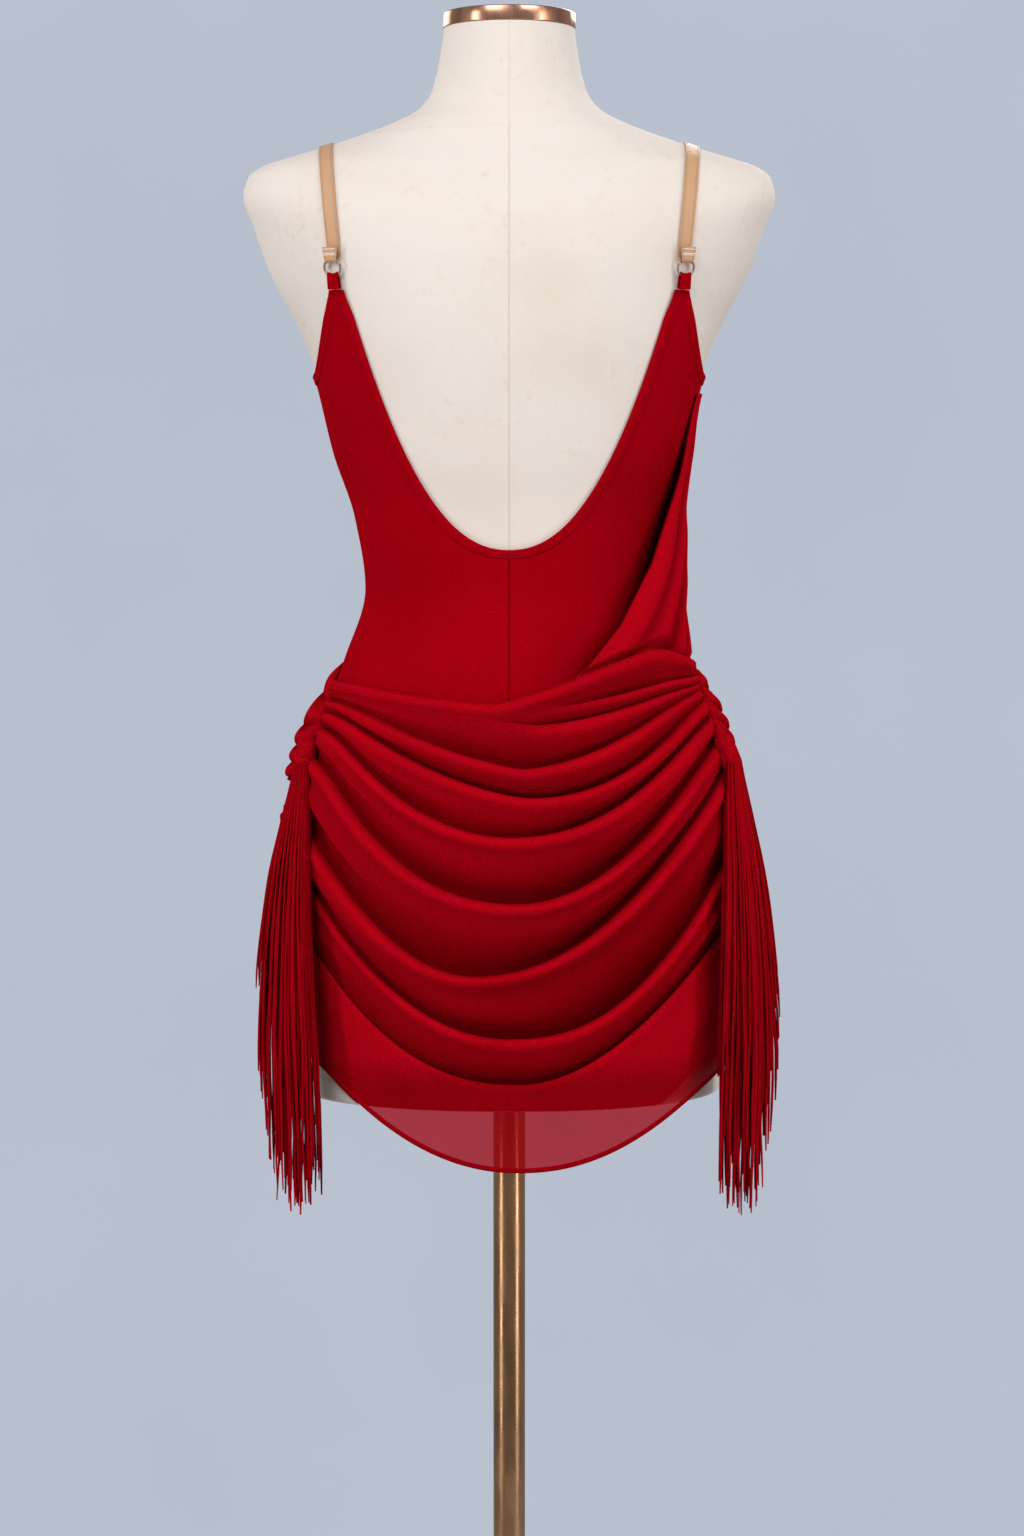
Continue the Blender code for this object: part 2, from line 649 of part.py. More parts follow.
def outward_at(x, y, z):
    """Unit normal of the figure at a point of it, from how its section changes."""
    step = 1e-4

    def level(px, py, pz):
        n = roundness(pz)
        b = depth(pz, py > 0)
        return (abs(px) / half_width(pz)) ** n + (abs(py) / b) ** n

    slope = []
    for axis in range(3):
        plus, minus = [x, y, z], [x, y, z]
        plus[axis] += step
        minus[axis] -= step
        slope.append(level(*plus) - level(*minus))
    normal = np.array(slope)
    return normal / np.linalg.norm(normal)


def crest_height(x):
    """Height at which the shoulder line passes over x."""
    low, high = 1.460, 1.530
    for _ in range(40):
        middle = (low + high) / 2
        if half_width(middle) > abs(x):
            low = middle
        else:
            high = middle
    return low


def strap_path(sign):
    """Points of the figure under a strap, from the ring up the back and over to the front."""
    back_end = RING_HEIGHT + RING_RADIUS + STRAP_BACK_RISE
    front_end = FRONT_POINT + STRAP_FRONT_RISE
    path = []
    for i in range(25):
        turn = math.pi * i / 24
        front = turn > math.pi / 2
        end = front_end if front else back_end
        across = FRONT_POINT_ACROSS if front else RING_ACROSS
        x = mix(across, STRAP_CREST_ACROSS, math.sin(turn))
        z = mix(end, crest_height(x) - 1e-5, math.sin(turn))
        n = roundness(z)
        y = depth(z, front) * max(1 - (x / half_width(z)) ** n, 0.0) ** (1 / n)
        y = y + bust(x, z) if front else -y
        path.append(np.array([sign * x, y, z]))
    return path


def ring_frame(sign):
    """Centre of a ring and its directions: up the back, out of it, and across."""
    z = RING_HEIGHT
    foot = figure(angle_at(sign * RING_ACROSS, z), z)
    out = outward_at(*foot)
    up = np.array([0.0, 0.0, 1.0]) - out * out[2]
    up /= np.linalg.norm(up)
    return foot + out * RING_STAND, up, out, np.cross(up, out)


def hairpin(centre, up, out, reach_out, reach_in, radius):
    """Path round a wire from one leg to the other; up points from the bend to the legs."""
    path, facing = [], []
    for distance in (reach_out, reach_out * 0.5):
        path.append(centre + out * radius + up * distance)
        facing.append(out)
    for i in range(9):
        turn = math.pi * i / 8
        direction = out * math.cos(turn) - up * math.sin(turn)
        path.append(centre + direction * radius)
        facing.append(direction)
    for distance in (reach_in * 0.5, reach_in):
        path.append(centre - out * radius + up * distance)
        facing.append(-out)
    return path, facing


def make_hangings(side, crepe, elastic, metal):
    """The cloth loop, the ring and the elastic strap of one shoulder."""
    centre, up, out, across = ring_frame(side.sign)
    rings = []
    for i in range(20):
        turn = 2 * math.pi * i / 20
        spoke = up * math.cos(turn) + across * math.sin(turn)
        ring = []
        for j in range(6):
            roll = 2 * math.pi * j / 6
            ring.append(
                centre
                + spoke * (RING_RADIUS + RING_WIRE * math.cos(roll))
                + out * (RING_WIRE * math.sin(roll))
            )
        rings.append(ring)
    points = [p for ring in rings for p in ring]
    faces = []
    for i in range(20):
        for j in range(6):
            k, m = (i + 1) % 20, (j + 1) % 6
            faces.append((i * 6 + j, i * 6 + m, k * 6 + m, k * 6 + j))
    add("ring_" + side.name, points, faces, metal)

    wire = centre - up * RING_RADIUS
    reach = wire[2] - BACK_POINT - LOOP_CLEAR
    path, facing = hairpin(wire, -up, out, reach, reach, LOOP_BORE)
    flat = [across] * len(path)
    arched("loop_" + side.name, path, flat, facing, LOOP_WIDTH, LOOP_THICKNESS, up, 0, crepe)

    wire = centre + up * RING_RADIUS
    path, facing = hairpin(wire, up, out, STRAP_TAIL, 0.0, LOOP_BORE)
    path, facing = path[:-1], facing[:-1]
    bend = len(path)
    under = strap_path(side.sign)
    flat = [across] * len(path)
    for i, p in enumerate(under):
        normal = outward_at(p[0], p[1] + (1e-6 if p[1] >= 0 else -1e-6), p[2])
        before, after = under[max(i - 1, 0)], under[min(i + 1, len(under) - 1)]
        along = after - before
        along /= np.linalg.norm(along)
        sideways = np.cross(along, normal)
        sideways /= np.linalg.norm(sideways)
        path.append(p + normal * (STRAP_OFF + STRAP_THICKNESS))
        facing.append(-normal)
        flat.append(sideways)
    name = "strap_" + side.name
    arched(name, path, flat, facing, STRAP_WIDTH, STRAP_THICKNESS, -up, bend, elastic)


# ---------------------------------------------------------------- right side drape


def make_side_drape(georgette):
    """The pleated length that hangs from the right underarm to the hip, clear of the waist."""
    heights, across = zip(*SIDE_DRAPE_EDGE)
    levels, offs = zip(*SIDE_DRAPE_STAND)
    inner, outer = [], []
    for t in spread(0.0, 1.0, SIDE_DRAPE_ROWS):
        z_back = mix(heights[-1], heights[0], t)
        x = float(np.interp(z_back, heights, across))
        angle = angle_at(x, z_back)
        wrap = mix(SIDE_DRAPE_WRAP[0], SIDE_DRAPE_WRAP[1], t)
        low, high = [], []
        for w in spread(-1.0, 1.0, SIDE_DRAPE_ROWS):
            z = z_back + smooth(1 - abs(w)) * SIDE_DRAPE_LIFT * t
            turn = (angle if w < 0 else wrap) * abs(w) ** 0.9
            bulge = float(np.interp(z, levels, offs)) * math.cos(w * math.pi / 2) ** 1.1
            wave = math.cos(SIDE_DRAPE_PLEATS * math.pi * w) * (1 - w * w)
            off = SIDE_DRAPE_OFF + SIDE_DRAPE_EDGE_OFF * abs(w) + bulge
            off = max(SIDE_DRAPE_CLEAR, off + SIDE_DRAPE_PLEAT_DEPTH * t * wave)
            low.append(figure(turn, z, off))
            high.append(figure(turn, z, off + DRAPE_WALL))
        inner.append(low)
        outer.append(high)
    wall("side_drape", inner, outer, georgette)


# ---------------------------------------------------------------- hip drapes


def fold_height(fold, x, half_left, half_right):
    """Height of a fold's crest at x: it sags between its two ends."""
    lowest, left, right, centre, left_power, right_power, _ = fold
    if x < centre:
        share = min((centre - x) / (centre + half_left), 1.0)
        return mix(lowest, left, share**left_power)
    share = min((x - centre) / (half_right - centre), 1.0)
    return mix(lowest, right, share**right_power)


def seam_angle(side, z):
    """Angle at which a fold ends: on the gathered seam, or at the side line below it."""
    (top, z_top), (low, z_low) = side.seam
    at_seam = max(z, z_low)
    across = mix(low, top, (at_seam - z_low) / (z_top - z_low))
    gathered = angle_at(across, at_seam, side.seam_off)
    return mix(gathered, -SIDE_LINE, smooth((z_low - z) / SEAM_REACH))


def base_off(share):
    """How far the drape's troughs stand off the figure, from the left end to the right one."""
    if share < 0.5:
        return mix(LEFT.seam_off, MIDDLE_OFF, smooth(share * 2))
    return mix(MIDDLE_OFF, RIGHT.seam_off, smooth(share * 2 - 1) ** 2)


def drape_row(fold, previous, t, crest_share, columns):
    """One row of the back drape, between the crest above (t=0) and this fold's crest (t=1)."""
    row = []
    for share in spread(0.0, 1.0, columns):
        s = 2 * share - 1
        places = []
        for one in (previous, fold):
            left_end = -math.pi - seam_angle(LEFT, one[1])
            right_end = seam_angle(RIGHT, one[2])
            angle = mix(left_end, right_end, share)
            left = -figure(left_end, one[1], LEFT.seam_off)[0]
            right = figure(right_end, one[2], RIGHT.seam_off)[0]
            across = figure(angle, one[0], MEASURED_OFF)[0]
            across = mix(across, mix(-left, right, share), abs(s) ** 6)
            places.append((angle, fold_height(one, across, left, right)))
        angle = mix(places[0][0], places[1][0], t)
        z = mix(places[0][1], places[1][1], t)
        fade = max(1 - abs(s) ** 2.6, 0.0)
        out = mix(previous[6], fold[6], t) * crest_share * fade
        row.append((angle, z, base_off(share) + out))
    return row


def drape_points(rows, extra):
    return [[figure(angle, z, off + extra) for angle, z, off in row] for row in rows]


def hem_strip(name, row, made):
    """The narrow rolled hem along a drape's lowest row."""
    strip = []
    for drop in (SEAM_GAP + HEM_CLEAR, SEAM_GAP + HEM_HEIGHT):
        strip.append([(angle, z - drop, off) for angle, z, off in row])
    wall(name, drape_points(strip, HEM_INNER), drape_points(strip, HEM_OUTER), made)


def make_back_drape(georgette):
    columns = 17
    rows = [drape_row(BACK_FOLDS[0], BACK_FOLDS[0], 1.0, 1.0, columns)]
    for above, fold in zip(BACK_FOLDS, BACK_FOLDS[1:]):
        for t, crest_share in FOLD_ROWS:
            rows.append(drape_row(fold, above, t, crest_share, columns))
    wall("back_drape", drape_points(rows, 0.0), drape_points(rows, DRAPE_WALL), georgette)
    hem_strip("back_hem", rows[-1], georgette)


def make_front_drape(georgette):
    """The front hip drape: the same sagging folds, evenly spaced, between the side pieces."""
    columns = 15
    rows = []
    for k in range(FRONT_FOLD_COUNT):
        share = k / (FRONT_FOLD_COUNT - 1)
        for t, crest_share in FRONT_ROWS:
            if k == FRONT_FOLD_COUNT - 1 and t > 0:
                continue
            here = min(share + t / (FRONT_FOLD_COUNT - 1), 1.0)
            ends = mix(FRONT_TOP, FRONT_HEM_ENDS, here**1.25)
            sag = mix(FRONT_TOP_SAG, FRONT_HEM_SAG, here)
            sag += FRONT_MIDDLE_SAG * math.sin(math.pi * here)
            wrapped = smooth((FRONT_WRAP_FOOT - ends) / FRONT_WRAP_REACH)
            side_angle = mix(FRONT_WRAP, SIDE_LINE, wrapped)
            size = FRONT_CREST * min(here * 6, 1.0) * (1 - here**4)
            row = []
            for j in range(columns):
                s = 2 * j / (columns - 1) - 1
                angle = math.pi / 2 - s * (math.pi / 2 - side_angle)
                z = ends - sag * (1 - abs(s) ** 2.1)
                fade = max(1 - abs(s) ** 4, 0.0)
                off = FRONT_OFF + size * crest_share * fade
                row.append((angle, z, off))
            rows.append(row)
    wall("front_drape", drape_points(rows, 0.0), drape_points(rows, DRAPE_WALL), georgette)
    hem_strip("front_hem", rows[-1], georgette)


# ---------------------------------------------------------------- hip puffs and tassels


def make_ruche(side, georgette):
    """The puffed gathered piece from the back drape's seam round the side to the front drape."""
    columns, steps = 8, len(PUFF_PROFILE)
    inner, outer = [], []
    (top_across, top_z), (low_across, low_z) = side.seam
    for i in range(PUFF_RIBS * steps + 1):
        v = i / (PUFF_RIBS * steps)
        seam_x = mix(top_across, low_across, v)
        seam_z = mix(top_z, low_z + PUFF_SEAM_RISE, v)
        start = angle_at(seam_x, seam_z, side.seam_off) + PUFF_START
        rib = PUFF_PROFILE[i % steps]
        low, high = [], []
        for j in range(columns):
            u = j / (columns - 1)
            angle = mix(start, PUFF_END, u)
            z = mix(seam_z, mix(side.ruche_top, side.ruche_bottom, v), math.sin(math.pi * u / 2))
            z -= PUFF_DROP * math.sin(math.pi * u) * v
            bulge = mix(side.bulge[0], side.bulge[1], smooth(v * 2.6)) - side.seam_off
            ends = mix(side.seam_off, PUFF_END_OFF, smooth(u))
            swell = math.sin(math.pi * min(u * 1.15, 1.0)) ** 0.7 if u < 1 else 0.0
            off = ends + (bulge + PUFF_RIB_DEPTH * (rib - 1)) * swell
            off = max(off, PUFF_CLEAR) - DRAPE_WALL * swell
            angle_here = angle if side.sign > 0 else math.pi - angle
            low.append(figure(angle_here, z, off))
            high.append(figure(angle_here, z, off + DRAPE_WALL))
        inner.append(low)
        outer.append(high)
    wall("ruche_" + side.name, inner, outer, georgette)


def make_tassel(side, cord):
    """A bound knot over a barrel head, and the reach of the fringe that hangs from it."""
    (x0, y0, z0), (x1, y1, z1) = side.tassel
    start, end = np.array((side.sign * x0, y0, z0)), np.array((side.sign * x1, y1, z1))
    middle = start + (end - start) * KNOT_SHARE
    turned("tassel_knot_" + side.name, KNOT_PROFILE, start, middle, 14, cord)
    gap = (end - start) / np.linalg.norm(end - start) * SEAM_GAP
    turned("tassel_head_" + side.name, HEAD_PROFILE, middle + gap, end, 14, cord)
    rings = []
    turn = FRINGE_TURN * side.sign
    for z, x, y, half_length, half_thickness in side.fringe:
        ring = []
        for i in range(16):
            round_it = 2 * math.pi * i / 16
            along, through = half_length * math.cos(round_it), half_thickness * math.sin(round_it)
            dx = along * math.cos(turn) + through * math.sin(turn)
            dy = -along * math.sin(turn) + through * math.cos(turn)
            ring.append((side.sign * x + dx, y + dy, z - SEAM_GAP * 2))
        rings.append(ring)
    loft("fringe_" + side.name, rings, cord)


def main():
    for obj in list(bpy.data.objects):
        bpy.data.objects.remove(obj, do_unlink=True)
    linen = material("cream_linen", (0.82, 0.76, 0.69), 0.75)
    copper = material("copper_cap", (0.55, 0.30, 0.19), 0.28, 1.0)
    bronze = material("bronze_pole", (0.30, 0.18, 0.10), 0.30, 1.0)
    crepe = material("red_crepe", (0.33, 0.004, 0.010), 0.55)
    georgette = material("red_georgette", (0.40, 0.005, 0.014), 0.60)
    cord = material("red_cord", (0.30, 0.004, 0.012), 0.60)
    elastic = material("tan_elastic", (0.72, 0.42, 0.20), 0.45)
    silver = material("ring_metal", (0.75, 0.68, 0.64), 0.22, 1.0)

    make_form(linen)
    make_stand(copper, bronze, bronze)
    for side in (LEFT, RIGHT):
        make_back(side, crepe)
    make_front(crepe)
    make_bindings(crepe)
    for side in (LEFT, RIGHT):
        make_hangings(side, crepe, elastic, silver)
    make_side_drape(georgette)
    make_back_drape(georgette)
    make_front_drape(georgette)
    for side in (LEFT, RIGHT):
        make_ruche(side, georgette)
        make_tassel(side, cord)


main()
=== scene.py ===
"""The looks of a backless latin dance dress on its limbless dress form and round stand.

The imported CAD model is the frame. Every cloth piece is a thin wall laid on the same figure as its
CAD solid, with its folds shaped in rows between the crest lines. Metres, +Z up, back towards -Y.
"""

import enum  # noqa: E402
import logging  # noqa: E402
import math  # noqa: E402
from collections.abc import Callable  # noqa: E402
from dataclasses import dataclass, field  # noqa: E402

import bmesh  # noqa: E402
import bpy  # noqa: E402
import numpy as np  # noqa: E402
from mathutils import Matrix, Vector  # noqa: E402

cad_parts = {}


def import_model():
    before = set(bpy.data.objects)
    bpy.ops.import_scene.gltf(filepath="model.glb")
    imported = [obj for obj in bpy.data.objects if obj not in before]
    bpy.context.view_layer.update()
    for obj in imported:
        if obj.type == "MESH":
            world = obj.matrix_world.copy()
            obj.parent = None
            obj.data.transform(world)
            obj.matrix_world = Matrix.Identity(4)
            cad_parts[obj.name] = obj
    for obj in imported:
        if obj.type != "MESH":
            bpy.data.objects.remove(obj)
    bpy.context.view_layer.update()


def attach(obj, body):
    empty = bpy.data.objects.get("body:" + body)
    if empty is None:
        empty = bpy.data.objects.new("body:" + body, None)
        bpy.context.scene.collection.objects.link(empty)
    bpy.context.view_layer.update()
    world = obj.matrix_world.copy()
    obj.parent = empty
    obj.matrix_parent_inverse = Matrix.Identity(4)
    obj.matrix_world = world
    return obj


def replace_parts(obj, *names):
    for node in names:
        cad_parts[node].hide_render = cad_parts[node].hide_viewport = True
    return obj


LOG = logging.getLogger("dress")
BODY = "root"

Number = float | np.ndarray
Triple = tuple[float, float, float]
Colour = Triple
Piece = bpy.types.Object

# ---- small helpers


def smooth(t: Number) -> np.ndarray:
    """Soft step from 0 to 1."""
    t = np.clip(t, 0.0, 1.0)
    return t * t * (3 - 2 * t)


def mix(a: Number, b: Number, t: Number) -> Number:
    """Straight blend from a to b."""
    return a + (b - a) * t


def bell(x: Number, width: float) -> np.ndarray:
    """Bell curve of height 1 and the given half width."""
    return np.exp(-((np.asarray(x, float) / width) ** 2))


def unit(v: np.ndarray) -> np.ndarray:
    """Vectors scaled to length 1."""
    return v / np.maximum(np.linalg.norm(v, axis=-1, keepdims=True), 1e-12)


def softened(values: np.ndarray, reach: int) -> np.ndarray:
    """A row of numbers, each averaged with its neighbours up to reach places away."""
    window = 2 * reach + 1
    return np.convolve(np.pad(values, reach, "edge"), np.ones(window) / window, "valid")


def run_length(points: np.ndarray, axis: int) -> np.ndarray:
    """Length along one axis of a grid of points, from its first row or column."""
    steps = np.linalg.norm(np.diff(points, axis=axis), axis=-1)
    start = np.zeros_like(np.take(steps, [0], axis=axis))
    return np.concatenate([start, np.cumsum(steps, axis=axis)], axis=axis)


class Hip(enum.Enum):
    """The two hips, by the sign of X."""

    LEFT = -1
    RIGHT = 1

    @property
    def word(self) -> str:
        """Name used in piece names."""
        return self.name.lower()


# ---- the figure


@dataclass(frozen=True)
class Figure:
    """The body under the cloth: level sections, each an oval that is squarer over the shoulders."""

    stations: tuple[tuple[float, float, float, float], ...] = (
        (0.755, 0.1680, 0.130, 0.112),
        (0.800, 0.1695, 0.132, 0.113),
        (0.880, 0.1700, 0.134, 0.114),
        (0.950, 0.1665, 0.130, 0.112),
        (1.010, 0.1560, 0.119, 0.107),
        (1.060, 0.1400, 0.104, 0.100),
        (1.095, 0.1270, 0.090, 0.094),
        (1.150, 0.1105, 0.074, 0.086),
        (1.205, 0.1185, 0.077, 0.093),
        (1.255, 0.1350, 0.087, 0.102),
        (1.315, 0.1500, 0.097, 0.108),
        (1.350, 0.1635, 0.101, 0.108),
        (1.397, 0.1876, 0.102, 0.100),
        (1.430, 0.1990, 0.098, 0.088),
        (1.455, 0.2075, 0.089, 0.075),
        (1.470, 0.2040, 0.081, 0.067),
        (1.478, 0.1940, 0.077, 0.063),
        (1.483, 0.1795, 0.074, 0.060),
        (1.495, 0.1390, 0.068, 0.057),
        (1.512, 0.0915, 0.062, 0.056),
        (1.523, 0.0708, 0.057, 0.055),
        (1.537, 0.0605, 0.0535, 0.0535),
        (1.564, 0.0540, 0.052, 0.052),
        (1.585, 0.0512, 0.0512, 0.0512),
    )
    shoulder: float = 1.440
    bust_height: float = 1.318
    bust_across: float = 0.076
    bust_out: float = 0.025
    bust_spread: tuple[float, float] = (0.050, 0.056)
    cup_ease: float = 0.0012
    squareness: float = 0.22
    square_below: float = 1.50
    shoulder_squareness: float = 0.30

    @property
    def base(self) -> float:
        """Height of the cut at the thighs."""
        return self.stations[0][0]

    @property
    def top(self) -> float:
        """Height of the neck's cut."""
        return self.stations[-1][0]

    def column(self, z: np.ndarray, index: int) -> np.ndarray:
        """Smooth curve through one column of the stations, with no overshoot.

        Args:
            z: Height.
            index: The column.

        Returns:
            Its value at that height.
        """
        heights = np.array([s[0] for s in self.stations])
        values = np.array([s[index] for s in self.stations])
        step = np.diff(heights)
        rise = np.diff(values) / step
        both = rise[:-1] * rise[1:]
        total = np.where(both > 0, rise[:-1] + rise[1:], 1.0)
        slope = np.concatenate([[0.0], np.where(both > 0, 2 * both / total, 0.0), [0.0]])
        z = np.clip(z, heights[0], heights[-1])
        i = np.clip(np.searchsorted(heights, z) - 1, 0, len(heights) - 2)
        t = (z - heights[i]) / step[i]
        first = (1 + 2 * t) * (1 - t) ** 2 * values[i] + t * (1 - t) ** 2 * slope[i] * step[i]
        last = t * t * (3 - 2 * t) * values[i + 1] + t * t * (t - 1) * slope[i + 1] * step[i]
        return first + last

    def half_width(self, z: np.ndarray) -> np.ndarray:
        """Half width of the section at a height."""
        return self.column(z, 1)

    def depth(self, z: np.ndarray, front: np.ndarray) -> np.ndarray:
        """Depth of the section in front of or behind the side line."""
        return np.where(front, self.column(z, 3), self.column(z, 2))

    def roundness(self, z: np.ndarray) -> np.ndarray:
        """Exponent of the section: 2 is an ellipse and more is squarer."""
        trunk = self.squareness * smooth((self.square_below - z) / 0.05)
        return 2.0 + trunk + self.shoulder_squareness * bell(z - self.shoulder, 0.030)

    def bust(self, x: np.ndarray, z: np.ndarray) -> np.ndarray:
        """How far the cups stand out of the front."""
        across = bell(np.abs(x) - self.bust_across, self.bust_spread[0])
        return self.bust_out * across * bell(z - self.bust_height, self.bust_spread[1])

    def at(self, angle: Number, z: Number, off: Number = 0.0) -> np.ndarray:
        """Points of the figure, moved out by off.

        Args:
            angle: Angle round the figure; 0 is +X and -pi/2 the back.
            z: Height.
            off: Distance out of the figure.

        Returns:
            Points, with one more axis than the inputs.
        """
        angle, z, off = np.broadcast_arrays(*(np.asarray(v, float) for v in (angle, z, off)))
        front = np.sin(angle) > 0
        off = off + np.where(off > 0, self.cup_ease * smooth(1.5 * np.sin(angle)), 0.0)
        n = self.roundness(z)
        wide = np.abs(np.cos(angle)) / (self.half_width(z) + off)
        deep = np.abs(np.sin(angle)) / (self.depth(z, front) + off)
        r = (wide**n + deep**n) ** (-1 / n)
        x, y = r * np.cos(angle), r * np.sin(angle)
        return np.stack([x, y + np.where(front, self.bust(x, z), 0.0), z], -1)

    def angle_at(self, x: Number, z: Number, off: Number = 0.0, front: bool = False) -> np.ndarray:
        """Angle of the point of the figure that lies at x.

        Args:
            x: Distance to the side.
            z: Height.
            off: Distance out of the figure.
            front: Whether the point is on the front.

        Returns:
            The angle, as at() reads it.
        """
        x, z = np.broadcast_arrays(np.asarray(x, float), np.asarray(z, float))
        a = self.half_width(z) + off
        n = self.roundness(z)
        rest = np.maximum(1 - np.minimum(np.abs(x) / a, 0.99999) ** n, 0.0) ** (1 / n)
        y = (self.depth(z, front) + off) * rest
        return np.arctan2(y if front else -y, x)

    def outward(self, p: np.ndarray) -> np.ndarray:
        """Unit normal of the figure at one of its points, cups left out.

        Args:
            p: The point.

        Returns:
            The normal.
        """
        step = 1e-4

        def level(q: np.ndarray) -> float:
            """1 on the section's outline, and more outside it."""
            n = self.roundness(q[2])
            deep = self.depth(q[2], q[1] > 0)
            return (abs(q[0]) / self.half_width(q[2])) ** n + (abs(q[1]) / deep) ** n

        slope = [level(p + e) - level(p - e) for e in np.eye(3) * step]
        return unit(np.array(slope, float))


FIGURE = Figure()


# ---- finishes


WAVE_LENGTH = 0.314  # length of one wave of the wave texture at scale 1

Socket = bpy.types.NodeSocket
Value = float | tuple | bpy.types.NodeSocket


class Nodes:
    """A material's node tree, with short ways to add and join nodes."""

    def __init__(self, name: str) -> None:
        """Starts an empty tree in a new material.

        Args:
            name: Name of the material.
        """
        self.material = bpy.data.materials.new(name)
        self.material.use_nodes = True
        self.tree = self.material.node_tree
        self.tree.nodes.clear()
        self.coords = self.tree.nodes.new("ShaderNodeTexCoord")

    def add(self, kind: str, sockets: dict | None = None, **settings) -> bpy.types.Node:
        """Adds a node.

        Args:
            kind: Node type without its ShaderNode prefix.
            sockets: Values or output sockets for its inputs, by name or number.
            settings: Node properties.

        Returns:
            The node.
        """
        node = self.tree.nodes.new("ShaderNode" + kind)
        for key, value in settings.items():
            setattr(node, key, value)
        for key, value in (sockets or {}).items():
            if isinstance(value, bpy.types.NodeSocket):
                self.tree.links.new(value, node.inputs[key])
            else:
                node.inputs[key].default_value = value
        return node

    def blend(self, share: Value, a: Value, b: Value) -> Socket:
        """Mixes two colours.

        Args:
            share: Share of the second colour.
            a: First colour.
            b: Second colour.

        Returns:
            The mixed colour.
        """
        node = self.add("Mix", data_type="RGBA")
        for socket, value in zip((node.inputs[0], node.inputs[6], node.inputs[7]), (share, a, b)):
            if isinstance(value, bpy.types.NodeSocket):
                self.tree.links.new(value, socket)
            else:
                socket.default_value = value
        return node.outputs[2]

    def math(self, operation: str, a: Value, b: Value = 0.0, clamp: bool = False) -> Socket:
        """A sum on one or two numbers."""
        node = self.add("Math", {0: a, 1: b}, operation=operation, use_clamp=clamp)
        return node.outputs[0]

    def span(
        self, value: Value, low: float, high: float, start: float = 0.0, end: float = 1.0
    ) -> Socket:
        """Maps a range smoothly to another.

        Args:
            value: What is mapped.
            low: Start of its range.
            high: End of its range.
            start: Result at low and below.
            end: Result at high and above.

        Returns:
            The result.
        """
        node = self.add(
            "MapRange",
            {"Value": value, "From Min": low, "From Max": high, "To Min": start, "To Max": end},
            interpolation_type="SMOOTHSTEP",
        )
        return node.outputs["Result"]

    def noise(self, scale: float, detail: float = 2.0, vector: Socket | None = None) -> Socket:
        """Noise on Object coordinates, or on the vector given."""
        vector = vector or self.coords.outputs["Object"]
        node = self.add("TexNoise", {"Vector": vector, "Scale": scale, "Detail": detail})
        return node.outputs["Fac"]

    def weave(self, period: float) -> Socket:
        """Over-and-under threads along the piece's own UV map, laid out in metres.

        Args:
            period: Width of two threads.

        Returns:
            Height of the threads.
        """
        threads = []
        for direction in ("X", "Y"):
            node = self.add(
                "TexWave",
                {
                    "Vector": self.coords.outputs["UV"], "Scale": WAVE_LENGTH / period,
                    "Distortion": 0.6,
                },
                bands_direction=direction,
            )
            threads.append(node.outputs["Fac"])
        return self.math("MULTIPLY", threads[0], threads[1])

    def bump(
        self, height: Value, strength: float, distance: float, under: Socket | None = None
    ) -> Socket:
        """Bump normal from a height.

        Args:
            height: The height, from about 0 to 1.
            strength: Strength of the bump.
            distance: Real height that 1 stands for.
            under: Normal of a bump that this one lies on.

        Returns:
            The normal.
        """
        sockets = {"Height": height, "Strength": strength, "Distance": distance}
        if under is not None:
            sockets["Normal"] = under
        return self.add("Bump", sockets).outputs["Normal"]

    def finish(self, shader: Socket) -> bpy.types.Material:
        """Joins the shader to the output."""
        self.add("OutputMaterial", {"Surface": shader})
        return self.material


